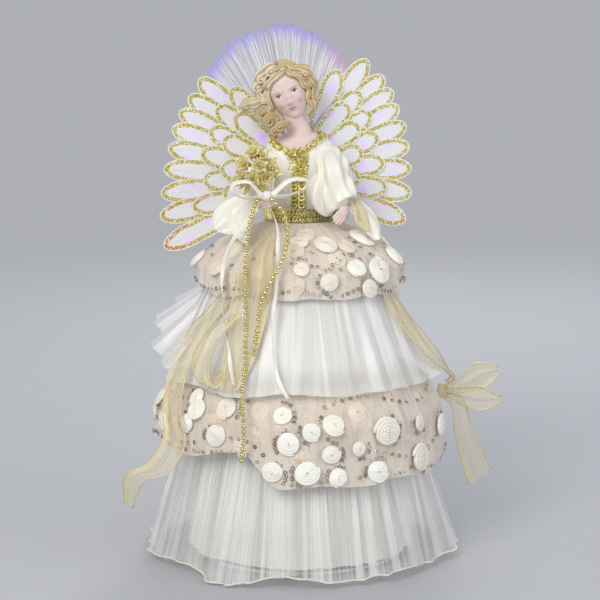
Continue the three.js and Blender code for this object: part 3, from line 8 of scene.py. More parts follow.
# %% Load the frame
import math
from functools import partial
import bpy
import numpy as np
from mathutils import Matrix, Vector


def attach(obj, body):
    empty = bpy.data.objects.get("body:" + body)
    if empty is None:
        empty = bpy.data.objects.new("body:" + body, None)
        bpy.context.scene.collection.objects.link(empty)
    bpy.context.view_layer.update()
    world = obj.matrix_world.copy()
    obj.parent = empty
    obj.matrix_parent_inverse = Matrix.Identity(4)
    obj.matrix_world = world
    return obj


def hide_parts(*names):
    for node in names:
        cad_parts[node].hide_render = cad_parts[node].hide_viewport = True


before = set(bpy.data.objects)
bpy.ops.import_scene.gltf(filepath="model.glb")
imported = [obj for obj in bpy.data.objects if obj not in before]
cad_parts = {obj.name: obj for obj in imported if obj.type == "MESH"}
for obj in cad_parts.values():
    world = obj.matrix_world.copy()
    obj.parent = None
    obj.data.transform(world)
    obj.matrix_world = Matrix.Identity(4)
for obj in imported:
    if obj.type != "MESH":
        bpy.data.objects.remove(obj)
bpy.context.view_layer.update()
mm = 0.001

# %% [markdown]
# ## Camera
# The photograph is taken from a little left of the front and a little above, from far away, so the
# doll shows almost no perspective. A long lens at one and a half metres gives the same.

# %% Camera
camera_turn = math.radians(-10)
camera_rise = math.radians(9)
camera_distance = 1.55
lens_length = 120.9
sensor_width = 36
picture_width = 600
look_at = Vector((0, 0, 0.195))
camera_back = Vector((math.sin(camera_turn) * math.cos(camera_rise),
                      -math.cos(camera_turn) * math.cos(camera_rise), math.sin(camera_rise)))
camera_place = look_at + camera_back * camera_distance
bpy.ops.object.camera_add(location=camera_place, rotation=camera_back.to_track_quat("Z", "Y").to_euler())
camera = bpy.context.object
camera.data.lens = lens_length
camera.data.sensor_width = sensor_width
bpy.context.scene.camera = camera
print("camera at", [round(value, 3) for value in camera_place])

# %% [markdown]
# ## Small helpers
# Blender's operators act on everything that is selected, so one helper clears the selection and
# picks a single piece. Colours are written as on a paint chart, in sRGB hex, and one function turns
# them into the linear numbers that shaders need. One function adds a shader node with its links,
# and each material gets a copy of that function which already knows its owner.

# %% Selecting, colours and nodes
def pick(piece):
    for other in bpy.context.selected_objects:
        other.select_set(False)
    piece.select_set(True)
    bpy.context.view_layer.objects.active = piece


def start_edit():
    """Edit mode on the active piece, with all of it selected."""
    bpy.ops.object.mode_set(mode="EDIT")
    bpy.ops.mesh.select_all(action="SELECT")


def apply_modifier(piece, kind, **settings):
    modifier = piece.modifiers.new(kind.lower(), kind)
    for name, value in settings.items():
        setattr(modifier, name, value)
    bpy.ops.object.modifier_apply(modifier=modifier.name)


def paint(code):
    parts = [int(code[i:i + 2], 16) / 255 for i in (0, 2, 4)]
    linear = [c / 12.92 if c <= 0.04045 else ((c + 0.055) / 1.055) ** 2.4 for c in parts]
    return (*linear, 1)


def feed(node, inputs):
    """Sets each input to its value, or links it where the value is an output of another node.

    A node given as a value stands for the first of its outputs that is in use.
    """
    for name, value in inputs.items():
        if isinstance(value, bpy.types.Node):
            value = next(output for output in value.outputs if output.enabled)
        if isinstance(value, bpy.types.NodeSocket):
            node.id_data.links.new(value, node.inputs[name])
        else:
            node.inputs[name].default_value = value
    return node


def add_node(owner, kind, inputs=None, **settings):
    node = owner.node_tree.nodes.new("ShaderNode" + kind)
    if kind == "Mix":
        node.data_type = "RGBA"  # every mix here is of colours, and its inputs are 0, 6 and 7
    for name, value in settings.items():
        setattr(node, name, value)
    return feed(node, inputs or {})


def start_material(name, constants):
    material = bpy.data.materials.new(name)
    material.use_nodes = True
    shader = feed(material.node_tree.nodes["Principled BSDF"], constants)
    return material, shader, partial(add_node, material)


def mottled(name, constants, grain, pale, dark):
    """A finish whose tone wanders between two colours over spots of a given size in metres."""
    material, shader, add = start_material(name, constants)
    place = add("TexCoord")
    spots = add("TexNoise", {"Vector": place.outputs["Object"], "Scale": 1 / grain, "Detail": 2})
    tone = add("Mix", {0: spots, 6: paint(pale), 7: paint(dark)})
    relief = add("Bump", {"Height": spots, "Strength": 0.15, "Distance": 0.0001})
    feed(shader, {"Base Color": tone, "Normal": relief})
    return material


def toned(name, constants, first, second):
    """A finish between two colours that every copy picks for itself, through its attribute shade."""
    material, shader, add = start_material(name, constants)
    shade = add("Attribute", attribute_name="shade")
    tone = add("Mix", {0: shade.outputs["Fac"], 6: paint(first), 7: paint(second)})
    feed(shader, {"Base Color": tone})
    return material


print("pale gold in linear numbers:", [round(value, 3) for value in paint("D8C27A")])

# %% [markdown]
# ## Cloth and tubes in mesh code
# A sheet of cloth is a grid of points, and its UV map is the flat cloth in metres, so a weave can be
# given its real thread spacing. A tube follows a line of points with a ring of points at each step.
# Both are plain grids, so one function makes every mesh of this kind.

# %% Grids and tubes
def new_piece(name, points, faces):
    mesh = bpy.data.meshes.new(name)
    mesh.from_pydata(points, [], faces)
    mesh.shade_smooth()
    piece = bpy.data.objects.new(name, mesh)
    bpy.context.scene.collection.objects.link(piece)
    return piece


def keep(piece, label, values):
    """Keeps one number per point under a label that a material can read."""
    layer = piece.data.attributes.get(label) or piece.data.attributes.new(label, "FLOAT", "POINT")
    layer.data.foreach_set("value", np.asarray(values, np.float32))


def grid_piece(name, grid, flat=(1, 1), around=False, closed_ends=False):
    """Rows of points in mm made a mesh; flat is the flat size in metres that its UV map shows."""
    grid = np.asarray(grid, float) * mm
    rows, columns = grid.shape[:2]
    spans = columns if around else columns - 1
    faces, corners = [], []
    for i in range(rows - 1):
        for j in range(spans):
            k = (j + 1) % columns
            faces.append((i * columns + j, (i + 1) * columns + j, (i + 1) * columns + k, i * columns + k))
            corners.append(((j, i), (j, i + 1), (j + 1, i + 1), (j + 1, i)))
    if closed_ends:
        for row, order in ((0, range(columns)), (rows - 1, range(columns - 1, -1, -1))):
            faces.append(tuple(row * columns + j for j in order))
            corners.append(tuple((j, row) for j in order))
    piece = new_piece(name, grid.reshape(-1, 3).tolist(), faces)
    layer = piece.data.uv_layers.new(name="flat")
    uv = [(j / spans * flat[0], i / (rows - 1) * flat[1]) for face in corners for j, i in face]
    layer.data.foreach_set("uv", np.array(uv, np.float32).ravel())
    return piece


def unit(vectors):
    """One vector, or each row of several, at length one."""
    return vectors / np.linalg.norm(vectors, axis=-1, keepdims=True)


def steps_along(path):
    return np.linalg.norm(np.diff(path, axis=0), axis=1)


def smooth_path(points, steps):
    points = np.asarray(points, float)
    ends = np.vstack([2 * points[0] - points[1], points, 2 * points[-1] - points[-2]])
    path = []
    for i in range(1, len(ends) - 2):
        a, b, c, d = ends[i - 1:i + 3]
        for step in range(steps):
            t = step / steps
            path.append(0.5 * (2 * b + (c - a) * t + (2 * a - 5 * b + 4 * c - d) * t * t
                               + (3 * b - a - 3 * c + d) * t ** 3))
    path.append(points[-1])
    return np.array(path)


def even_path(path, spacing):
    lengths = np.concatenate([[0], np.cumsum(steps_along(path))])
    count = max(2, round(lengths[-1] / spacing) + 1)
    places = np.linspace(0, lengths[-1], count)
    return np.column_stack([np.interp(places, lengths, path[:, k]) for k in range(path.shape[1])])


def path_frames(path, away=None):
    """The direction along the path, and two across it; away says which way a flat side faces."""
    along = unit(np.gradient(path, axis=0))
    side = np.zeros_like(path)
    last = np.array([1.0, 0, 0]) if abs(along[0][0]) < 0.8 else np.array([0, 0, 1.0])
    for i, direction in enumerate(along):
        wish = last if away is None else np.cross(direction, away(path[i]))
        last = unit(wish - direction * np.dot(wish, direction))
        side[i] = last
    return along, side, np.cross(along, side)


def tube_grid(path, widths, depths, sides, away=None, ridges=0, ridge_share=0, twist=0):
    path = np.asarray(path, float)
    along, side, up = path_frames(path, away)
    widths = np.broadcast_to(widths, len(path))
    depths = np.broadcast_to(depths, len(path))
    turn = np.linspace(0, 2 * np.pi, sides, endpoint=False)
    grid = []
    for i, point in enumerate(path):
        swell = 1 + ridge_share * np.cos(ridges * turn + twist * i / len(path) * 2 * np.pi)
        grid.append(point + np.outer(np.cos(turn) * swell * widths[i], side[i])
                    + np.outer(np.sin(turn) * swell * depths[i], up[i]))
    return np.array(grid)[:, ::-1]


def tube_piece(name, path, widths, depths, sides, flat=(1, 1), **turns):
    return grid_piece(name, tube_grid(path, widths, depths, sides, **turns), flat, True, True)


def join_pieces(name, parts):
    pick(parts[0])
    for part in parts:
        part.select_set(True)
    if len(parts) > 1:
        bpy.ops.object.join()
    parts[0].name = parts[0].data.name = name
    return parts[0]


def dress(piece, materials, nodes=()):
    if list(piece.data.materials) != materials:
        piece.data.materials.clear()
        for material in materials:
            piece.data.materials.append(material)
    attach(piece, "root")
    if nodes:
        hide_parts(*nodes)
    return piece


def cloth_area(piece):
    return sum(face.area for face in piece.data.polygons)


print("points 1 mm apart on a line of 4 mm:", len(even_path(np.array([(0.0, 0, 0), (4, 0, 0)]), 1)))

# %% [markdown]
# ## Satin and its tails
# Polyester satin floats long threads over its face, so light runs along it in soft bands. The cords
# come first because they must keep the place that the CAD gives them: two narrow satin tails hang
# from the bow, with flat sides facing the onlooker.

# %% Satin, woven polyester
# The long floats give a soft sheen and a highlight that is wide but bright.
ivory_satin, shader, add = start_material("ivory_satin_woven", {
    "Roughness": 0.36, "Sheen Weight": 0.25, "Sheen Roughness": 0.4, "Specular IOR Level": 0.6})
cloth_place = add("TexCoord")
# Floats lie every 0.1 mm; they are drawn at 0.6 mm so that the render can show them.
floats = add("Mapping", {
    "Vector": cloth_place.outputs["Object"], "Scale": (1 / 0.0006, 1 / 0.0006, 1 / 0.006)})
slubs = add("TexNoise", {"Vector": floats, "Scale": 1, "Detail": 2})
patches = add("TexNoise", {"Vector": cloth_place.outputs["Object"], "Scale": 1 / 0.02, "Detail": 3})
tone = add("Mix", {0: patches, 6: paint("F6F4EB"), 7: paint("EFEBDF")})
weave = add("Bump", {"Height": slubs, "Strength": 0.25, "Distance": 0.0002})
feed(shader, {"Base Color": tone, "Normal": weave})

# %% Satin tails
def turning_outward(point):
    """Away from the doll's axis, swung left and right on the way down, as a limp ribbon turns."""
    turn = math.atan2(point[1], point[0]) + 1.2 * math.sin(point[2] / 15 + 0.03 * point[0])
    return np.array([math.cos(turn), math.sin(turn), 0.0])


tail_routes = {
    "satin_tail_left": [
        (-39, -52.3, 277.4), (-46, -52.5, 268), (-53, -51.5, 258), (-60, -50.5, 247), (-65, -51, 235),
        (-68, -53, 220), (-67.5, -56.5, 206), (-67.4, -60.8, 192), (-66.8, -67.1, 181), (-66, -75, 169),
        (-65, -82.8, 156.4), (-64, -89.5, 147.9)],
    "satin_tail_right": [
        (-33.5, -52.8, 277.2), (-29.5, -54, 268), (-27, -58, 257), (-28.5, -68, 246),
        (-29.5, -76.5, 233.8), (-31.5, -81.8, 218.6), (-33.2, -81.8, 206), (-35.3, -83.5, 194.6),
        (-35.6, -89, 177.2), (-35, -96.5, 160.2), (-32.3, -101.8, 150.1), (-27.6, -108, 140.5)]}
for name, route in tail_routes.items():
    path = even_path(smooth_path(route, 8), 2)
    ends = np.linspace(0, 1, len(path))
    width = 1.85 - 0.3 * np.abs(np.sin(ends * 9))
    tail = tube_piece(f"{name}_ribbon", path, width, 0.28, 12, (0.004, 0.15), away=turning_outward)
    dress(tail, [ivory_satin], [name])
    length = steps_along(path).sum() * mm
    print(name, "is", round(length, 3), "m long")

# %% [markdown]
# ## Bead strands
# The strands are plastic beads with a metallised gold skin, threaded on a fine cord. One bead is
# modelled with a waist and facets, then copied along the thread. The thread runs through them all.

# %% Bead plastic, metallised
# A skin of metal a few atoms thick mirrors the room, and varies a little from bead to bead.
gold_bead = mottled("gold_bead_metallised", {"Metallic": 1.0, "Roughness": 0.26}, 0.006, "FAF0B4", "CDB964")

# %% Bead model and copying
def copies(name, model, places, shades=None):
    """One mesh that holds a copy of the model at every place; each copy keeps a shade of its own."""
    mesh = model.data
    points = np.empty(len(mesh.vertices) * 3)
    mesh.vertices.foreach_get("co", points)
    points = np.column_stack([points.reshape(-1, 3), np.ones(len(mesh.vertices))])
    faces = [tuple(face.vertices) for face in mesh.polygons]
    kinds = [face.material_index for face in mesh.polygons]
    made = np.vstack([(points @ np.array(place).T)[:, :3] for place in places])
    count = len(points)
    all_faces = [tuple(v + n * count for v in face) for n in range(len(places)) for face in faces]
    piece = new_piece(name, made.tolist(), all_faces)
    piece.data.polygons.foreach_set("material_index", kinds * len(places))
    chance = np.random.RandomState(len(places)).rand(len(places)) if shades is None else np.array(shades)
    keep(piece, "shade", np.repeat(chance, count))
    return piece


def placed(point, outward, along=(0, 0, 1), size=1.0):
    """A place in mm for a copy, as a matrix: its z axis looks outward, its y axis keeps to along."""
    z = Vector(outward).normalized()
    x = Vector(along).cross(z)
    x = x.normalized() if x.length > 1e-6 else z.orthogonal().normalized()
    turn = Matrix((x, z.cross(x), z)).transposed().to_4x4()
    return Matrix.Translation(Vector(point) * mm) @ turn @ Matrix.Diagonal((size, size, size, 1))


bpy.ops.mesh.primitive_uv_sphere_add(segments=8, ring_count=6, radius=1.9 * mm)
bead_model = bpy.context.object
start_edit()
bpy.ops.transform.resize(value=(1, 1, 0.94))
bpy.ops.mesh.bevel(offset=0.18 * mm, segments=1, affect="EDGES")
bpy.ops.object.mode_set(mode="OBJECT")
print("faces in one bead:", len(bead_model.data.polygons))

# %% Bead strands on their threads
bead_routes = {
    "bead_strand_long": [
        (-41.9, -55.2, 278.3), (-46.5, -57.4, 266), (-49, -58.6, 254), (-50.5, -62, 241.7),
        (-52, -66.5, 230.7), (-53, -70.5, 217.5), (-53, -72.5, 205), (-53, -74.5, 194.2),
        (-54.2, -80.5, 179), (-55.3, -86, 166), (-57.3, -91.3, 153), (-59.1, -95.3, 142),
        (-59.5, -100.5, 130), (-59.5, -104.8, 117), (-60.3, -106, 105), (-61.5, -106, 95.9)],
    "bead_strand_second": [
        (-30.5, -56, 279), (-23, -59.5, 270), (-20.5, -63, 258.5), (-22.6, -71.5, 246.5),
        (-26.8, -78.8, 237), (-30.8, -80.8, 231), (-35, -81.6, 223.5), (-39, -81, 215.5),
        (-42.3, -80, 208), (-43.8, -79, 199.9), (-45.2, -80.5, 190.5), (-47.5, -83.5, 179.3),
        (-49.2, -86.5, 170.5)]}
for name, route in bead_routes.items():
    path = even_path(smooth_path(route, 8), 4.2)
    along = np.gradient(path, axis=0)
    beads = copies(f"{name}_beads", bead_model, [placed(p, a, (0.3, 1, 0.2)) for p, a in zip(path, along)])
    thread = tube_piece(f"{name}_thread", path, 0.35, 0.35, 6, (0.001, 0.2))
    strand = join_pieces(f"{name}_beads", [beads, thread])
    dress(strand, [gold_bead], [name])
    fine = even_path(smooth_path(route, 8), 2)
    length = steps_along(fine).sum() * mm
    print(name, "is", round(length, 3), "m long with", len(path), "beads")
bpy.data.objects.remove(bead_model)

# %% [markdown]
# ## Floor and studio light
# A wide pale floor runs back past the edge of the view, so it is the backdrop too. A large soft lamp
# at the left front models the folds, a weaker one fills from the right, and a third one behind lifts
# the edge of the sheer cloth. The world is an even grey, and it is what mirrors see as well.

# %% Floor, lamps and world
bpy.ops.mesh.primitive_circle_add(vertices=96, radius=25, fill_type="TRIFAN", location=(0, 0, -0.0004))
floor = bpy.context.object
floor.name = "studio_floor"
floor_paint, shader, add = start_material("floor_matt_paint", {"Roughness": 0.9, "Specular IOR Level": 0.2})
floor_place = add("TexCoord")
floor_grain = add("TexNoise", {"Vector": floor_place.outputs["Object"], "Scale": 40, "Detail": 2})
floor_tone = add("Mix", {0: floor_grain, 6: paint("BABCC1"), 7: paint("BDBFC3")})
# Far from the doll the floor fades into the even backdrop, so no horizon shows.
floor_reach = add("VectorMath", {0: floor_place.outputs["Object"]}, operation="LENGTH")
floor_fade = add("MapRange", {
    "Value": floor_reach, "From Min": 0.5, "From Max": 2.4, "To Min": 1.0,
    "To Max": 0.0}, interpolation_type="SMOOTHSTEP")
feed(shader, {"Base Color": floor_tone, "Alpha": floor_fade})
floor.data.materials.append(floor_paint)


def soft_lamp(name, place, size, watts, colour):
    aim = (Vector(place) - Vector((0, 0, 0.2))).to_track_quat("Z", "Y").to_euler()  # at half height
    bpy.ops.object.light_add(type="AREA", location=place, rotation=aim)
    lamp = bpy.context.object
    lamp.name = name
    lamp.data.size = size
    lamp.data.energy = watts
    lamp.data.color = paint(colour)[:3]


soft_lamp("key_lamp", (-0.95, -1.35, 1.25), 0.9, 20, "FFFDF8")
soft_lamp("fill_lamp", (1.4, -1.2, 0.7), 1.2, 7, "F8FAFF")
soft_lamp("rim_lamp", (0.5, 1.5, 1.2), 0.8, 12, "FFFFFF")
world = bpy.data.worlds.new("studio_world")
bpy.context.scene.world = world
world.use_nodes = True
add_to_world = partial(add_node, world)
light_path = add_to_world("LightPath")
seen = add_to_world("Math", {
    0: light_path.outputs["Is Camera Ray"],
    1: light_path.outputs["Is Glossy Ray"]}, operation="ADD", use_clamp=True)
seen_through = add_to_world("Math", {
    0: seen, 1: light_path.outputs["Is Transmission Ray"]}, operation="ADD", use_clamp=True)
room = add_to_world("Mix", {0: seen_through, 6: paint("BABCC0"), 7: paint("AEB0B5")})
feed(world.node_tree.nodes["Background"], {"Color": room})
bpy.context.scene.view_settings.view_transform = "Standard"

# %% [markdown]
# ## How the skirt layers hang
# Each layer is sewn at its top and flares to its hem. Its profile says how much of the flare is
# reached at each share of the drop, and slow waves round the body give the hem its deep folds. Fine
# gathers are added on top: close together at the seam, and wider and deeper towards the hem.

# %% Layer shapes
# Each wave is how many there are round the skirt, where they start and their share of the height.
full_waves = [(10, 0.1, 0.5), (7, 0.62, 0.3), (4, 0.33, 0.2)]
gather_waves = [(8, 0.35, 0.5), (5, 0.15, 0.3), (3, 0.8, 0.2)]
underskirt = dict(top=257.35, top_radius=25.85, hem=6, hem_radius=86, waves=gather_waves, fold=2.2,
                  power=5, hem_waves=full_waves, dip=0, dip_power=4,
                  profile=[(0, 0), (0.032, 0), (0.12, 0.28), (0.25, 0.55), (0.5, 0.82), (1, 1)])
seam_gap = 1.85


def sewn_radius(height):
    """The radius just outside the underskirt, where another layer can be sewn on."""
    drop = (underskirt["top"] - height) / (underskirt["top"] - underskirt["hem"])
    flare = np.interp(drop, *zip(*underskirt["profile"]))
    radius = underskirt["top_radius"] + (underskirt["hem_radius"] - underskirt["top_radius"]) * flare
    return radius + underskirt["fold"] * drop ** underskirt["power"] + seam_gap


lower_organza = dict(top=124, top_radius=sewn_radius(124), hem=0.8, hem_radius=117, waves=full_waves,
                     fold=6, power=1.6, hem_waves=gather_waves, dip=9, dip_power=3,
                     profile=[(0, 0), (0.07, 0.23), (0.42, 0.53), (0.75, 0.8), (1, 1)])
lower_tier = dict(top=150, top_radius=sewn_radius(150), hem=71, hem_radius=112, waves=gather_waves,
                  fold=2.4, power=1.5, hem_waves=full_waves, dip=8, dip_power=3, tuck=19,
                  profile=[(0, 0), (0.06, 0.36), (0.17, 0.65), (0.42, 0.93), (1, 1)])
upper_tulle = dict(top=222, top_radius=sewn_radius(222), hem=138, hem_radius=105, waves=full_waves,
                   fold=3, power=2, hem_waves=gather_waves, dip=5, dip_power=3,
                   profile=[(0, 0), (0.06, 0.4), (0.19, 0.45), (0.6, 0.73), (1, 1)])
upper_tier = dict(top=257, top_radius=sewn_radius(257), hem=205, hem_radius=79.5, waves=gather_waves,
                  fold=1.5, power=1.5, hem_waves=full_waves, dip=5, dip_power=3,
                  profile=[(0, 0), (0.12, 0.32), (0.32, 0.7), (0.62, 0.99), (1, 1)])


def wave_at(waves, angle):
    return sum(share * np.cos(count * angle + phase * 2 * np.pi) for count, phase, share in waves)


def tucked_up(angle):
    """1 at the left side, where the sash draws the net up, falling to 0 in front and behind."""
    left = np.degrees(-angle) % 360
    share = np.clip((left - 17) / 14, 0, 1) * np.clip((130 - left) / 40, 0, 1)
    return share * share * (3 - 2 * share)


def skirt_point(layer, angle, drop, lift=0.0):
    """A point on a layer's outer face in mm; angle 0 is the front, and drop runs from seam 0 to hem 1."""
    flare = np.interp(drop, *zip(*layer["profile"]))
    radius = layer["top_radius"] + (layer["hem_radius"] - layer["top_radius"]) * flare + lift
    radius = radius + layer["fold"] * drop ** layer["power"] * wave_at(layer["waves"], angle)
    rise = layer["dip"] * drop ** layer["dip_power"] * (wave_at(layer["hem_waves"], angle) + 1) / 2
    rise = rise + layer.get("tuck", 0) * drop ** 2 * tucked_up(angle)
    height = layer["top"] + (layer["hem"] - layer["top"]) * drop + rise
    return np.stack([radius * np.sin(angle), -radius * np.cos(angle), height + 0 * radius], axis=-1)


def gathers(angle, count, seed):
    """Uneven pleats round the skirt, from -1 to 1."""
    slow = np.random.RandomState(seed).rand(6) * 2 * np.pi
    phase = count * angle + 2.3 * np.sin(3 * angle + slow[0]) + 1.5 * np.sin(7 * angle + slow[1])
    phase = phase + 0.9 * np.sin(13 * angle + slow[2])
    size = 0.72 + 0.28 * np.sin(5 * angle + slow[3]) * np.sin(11 * angle + slow[4])
    return size * (np.sin(phase) + 0.28 * np.sin(2 * phase + slow[5]))


def skirt_grid(layer, columns, rows, lift, seam, hem, counts, seed):
    """Rows from seam to hem. seam and hem are how deep the fine gathers are there, in mm."""
    angle = np.linspace(0, 2 * np.pi, columns, endpoint=False)[None, :]
    drop = np.linspace(0, 1, rows)[:, None]
    close = gathers(angle, counts[0], seed) * (1 - drop) ** 2
    wide = gathers(angle, counts[1], seed + 1) * np.minimum(1, drop * 1.6)
    depth = lift + seam * close + (seam + (hem - seam) * drop) * wide
    return skirt_point(layer, angle + 0 * drop, drop + 0 * angle, depth)


def flat_size(grid):
    """The width of a layer along its hem and its length down one line, in metres."""
    hem_line = np.vstack([grid[-1], grid[-1][:1]])
    return steps_along(hem_line).sum() * mm, steps_along(grid[:, 0]).sum() * mm


print("sewn radius at 124, 150 and 222 mm:", [round(float(sewn_radius(h)), 1) for h in (124, 150, 222)])

# %% [markdown]
# ## Organza
# White organza is a thin plain weave that is seen through. It can't be drawn thread by thread at this
# size, so streaks along the cloth stand for bundles of threads: where they crowd the cloth is milky,
# and between them it is clear. Two sheets of it lie over each other and make the whiter bands.

# %% Organza, woven polyester
# Stiff clear threads give bright streaks with see-through gaps.
def sheer_cloth(name, pale, dark, least, most, spacing, band, roughness, hem_share=1.0):
    """Streaked sheer cloth; hem_share thins it over the last 30 mm before a hem 105 mm from the seam."""
    material, shader, add = start_material(name, {
        "Roughness": roughness, "Sheen Weight": 0.3, "Sheen Roughness": 0.35, "Specular IOR Level": 0.5})
    place = add("TexCoord")
    bundles = add("Mapping", {"Vector": place.outputs["UV"], "Scale": (1 / spacing, 1 / 0.09, 1)})
    streaks = add("TexNoise", {
        "Vector": bundles, "Scale": 1, "Detail": 3, "Roughness": 0.65}, noise_dimensions="2D")
    cover = add("MapRange", {
        "Value": streaks, "From Min": 0.36, "From Max": 0.64, "To Min": least, "To Max": most})
    pleats = add("Mapping", {"Vector": place.outputs["UV"], "Scale": (1 / band, 1 / 0.4, 1)})
    folded = add("TexNoise", {"Vector": pleats, "Scale": 1, "Detail": 1}, noise_dimensions="2D")
    double = add("MapRange", {
        "Value": folded, "From Min": 0.5, "From Max": 0.57, "To Min": 0.0, "To Max": 0.33})
    whole = add("Math", {0: cover, 1: double}, operation="ADD", use_clamp=True)
    down = add("SeparateXYZ", {"Vector": place.outputs["UV"]})
    near_hem = add("MapRange", {
        "Value": down.outputs["Y"], "From Min": 0.075, "From Max": 0.1, "To Min": 1.0,
        "To Max": hem_share}, interpolation_type="SMOOTHSTEP")
    thinned = add("Math", {0: whole, 1: near_hem}, operation="MULTIPLY")
    tone = add("Mix", {0: streaks, 6: paint(dark), 7: paint(pale)})
    relief = add("Bump", {"Height": streaks, "Strength": 0.2, "Distance": 0.0003})
    feed(shader, {"Base Color": tone, "Alpha": thinned, "Normal": relief})
    return material


# Thread bundles lie every 0.9 mm, or 0.8 mm in the softened cloth; single threads are too fine to show.
# Pleats that lie double are about 12 mm wide.
white_organza = sheer_cloth("white_organza_woven", "FDFCFB", "F4F3F0", 0.09, 0.44, 0.0009, 0.012, 0.45, 0.72)
milky_organza = sheer_cloth("white_organza_softened", "FCFBF9", "F7F6F2", 0.48, 0.62, 0.0008, 0.018, 0.5, 0.6)

# %% Underskirt and organza skirts
under_grid = skirt_grid(underskirt, 360, 60, -0.7, 0.35, 1.8, (46, 22), 3)
underskirt_cloth = grid_piece("underskirt_satin", under_grid, (0.62, 0.27), True)
dress(underskirt_cloth, [ivory_satin], ["underskirt"])
organza_layers = [
    ("lower_organza_outer", lower_organza, "lower_tulle_skirt", 0.1, 0.35, 3.2, (96, 26), 11),
    ("lower_organza_inner", lower_organza, "lower_tulle_skirt", -1.6, 0.3, 3.2, (88, 19), 21),
    ("upper_organza_outer", upper_tulle, "upper_tulle_skirt", 0.1, 0.25, 2.2, (80, 17), 31),
    ("upper_organza_inner", upper_tulle, "upper_tulle_skirt", -1.6, 0.25, 2.0, (72, 12), 41)]
for name, layer, node, lift, seam, hem, counts, seed in organza_layers:
    cloth_finish = milky_organza if layer is upper_tulle else white_organza
    grid = skirt_grid(layer, 720, 40, lift, seam, hem, counts, seed)
    width, length = flat_size(grid)
    sheer = grid_piece(name, grid, (width, length), True)
    dress(sheer, [cloth_finish], [node])
    print(name, "flat width", round(width, 3), "m, length", round(length, 3), "m")

# %% Side ruffle of the upper organza
# Spare cloth of the upper organza is bunched at the left side and stands off the skirt in a pleated fan.
share, drop = np.meshgrid(np.linspace(0, 1, 200), np.linspace(0, 1, 26))
turn = np.radians(-73 - 56 * share)
fold = np.sin(2 * np.pi * (3.4 * share + 0.25 * np.sin(5 * share)))
fine = np.sin(46 * share + 3 * np.sin(9 * share))
reach = 52 + (57 + 6 * fold + 1.3 * fine) * drop
low = 150 + 34 * share + 5 * fold
seam = upper_tulle["top"]
ruffle_grid = np.stack([reach * np.sin(turn), -reach * np.cos(turn),
                        seam - (seam - low) * drop ** 0.9], axis=-1)
ruffle_size = (0.26, 0.09)
side_ruffle = grid_piece("upper_organza_side_ruffle", ruffle_grid, ruffle_size)
dress(side_ruffle, [white_organza], ["upper_tulle_skirt"])
print("side ruffle area in square metres:", round(cloth_area(side_ruffle), 4))

# %% [markdown]
# ## Rolled hem
# The organza is cut and then rolled into a narrow hem with a cream and gold thread, which gives the
# skirt a thin wavy edge. It follows the lowest row of points of the outer organza.

# %% Hem thread, twisted polyester with a metal strip
# The tone wanders between cream and gold along the twist, and the pale dots are painted glints where the flat
# metal strip in the thread catches light.
# One turn of the twist is 1.5 mm long.
gold_thread = mottled("gold_thread_twisted", {
    "Roughness": 0.38, "Metallic": 0.35}, 0.0015, "F8F0D2", "CDB87C")
# The hem has the cream thread alone: soft, its tone wandering in spots, and the pale spots are painted glints
# where a fibre turns.
cream_thread = mottled("cream_thread_twisted", {
    "Roughness": 0.5, "Sheen Weight": 0.2}, 0.0015, "FBF8EE", "DDD3B8")

# %% Hem of the organza skirt
hem_path = skirt_grid(lower_organza, 480, 40, 0.1, 0.35, 3.2, (96, 26), 11)[-1]


def closed_ring_piece(name, path, radius, sides):
    """A tube along a line that closes on itself."""
    around = unit(np.roll(path, -1, axis=0) - np.roll(path, 1, axis=0))
    side = unit(np.cross(around, [0, 0, 1.0]))
    up = np.cross(side, around)
    turn = np.linspace(0, 2 * np.pi, sides, endpoint=False)
    rings = np.array([path + radius * (np.cos(t) * side + np.sin(t) * up) for t in turn])
    piece = grid_piece(name, np.vstack([rings, rings[:1]]), (1, 0.004), True)
    pick(piece)
    start_edit()
    bpy.ops.mesh.remove_doubles(threshold=0.00001)
    bpy.ops.mesh.normals_make_consistent(inside=False)
    bpy.ops.object.mode_set(mode="OBJECT")
    return piece


rolled_hem = closed_ring_piece("rolled_hem", hem_path + np.array([0, 0, 0.55]), 0.75, 5)
dress(rolled_hem, [cream_thread], ["hem_trim"])
print("hem faces:", len(rolled_hem.data.polygons))

# %% [markdown]
# ## Net tiers
# Two short tiers are cut from champagne net that is embroidered with coiled ribbon roses and ring
# sequins. The net is champagne beige and lets a little of the white below through.

# %% Net, knotted nylon
# Fine open meshes make the colour look dusty and let the layer below glimmer through.
champagne_net, shader, add = start_material("champagne_net_knotted", {
    "Roughness": 0.62, "Sheen Weight": 0.2, "Specular IOR Level": 0.35})
net_place = add("TexCoord")
# Real meshes are 0.8 mm wide and are drawn at 1.3 mm.
meshes = add("TexVoronoi", {
    "Vector": net_place.outputs["Object"], "Scale": 1 / 0.0013}, feature="DISTANCE_TO_EDGE")
net_cover = add("MapRange", {
    "Value": meshes, "From Min": 0.05, "From Max": 0.3, "To Min": 0.86, "To Max": 0.68})
net_patches = add("TexNoise", {"Vector": net_place.outputs["Object"], "Scale": 1 / 0.014, "Detail": 3})
net_tone = add("Mix", {0: net_patches, 6: paint("E6D7C6"), 7: paint("F6EEE2")})
# The net creases down its length, and a crease is painted a darker rose tan: partly the tan of two or three
# layers of net, partly painted shade in the crease.
crease_place = add("Mapping", {"Vector": net_place.outputs["UV"], "Scale": (1 / 0.007, 1 / 0.03, 1)})
creases = add("TexNoise", {
    "Vector": crease_place, "Scale": 1, "Detail": 3, "Distortion": 0.8}, noise_dimensions="2D")
painted_crease_shade = add("MapRange", {
    "Value": creases, "From Min": 0.45, "From Max": 0.75, "To Min": 0.0, "To Max": 0.6})
crease_shaded_tone = add("Mix", {0: painted_crease_shade, 6: net_tone, 7: paint("D9C0AC")})
feed(shader, {"Base Color": crease_shaded_tone, "Alpha": net_cover})

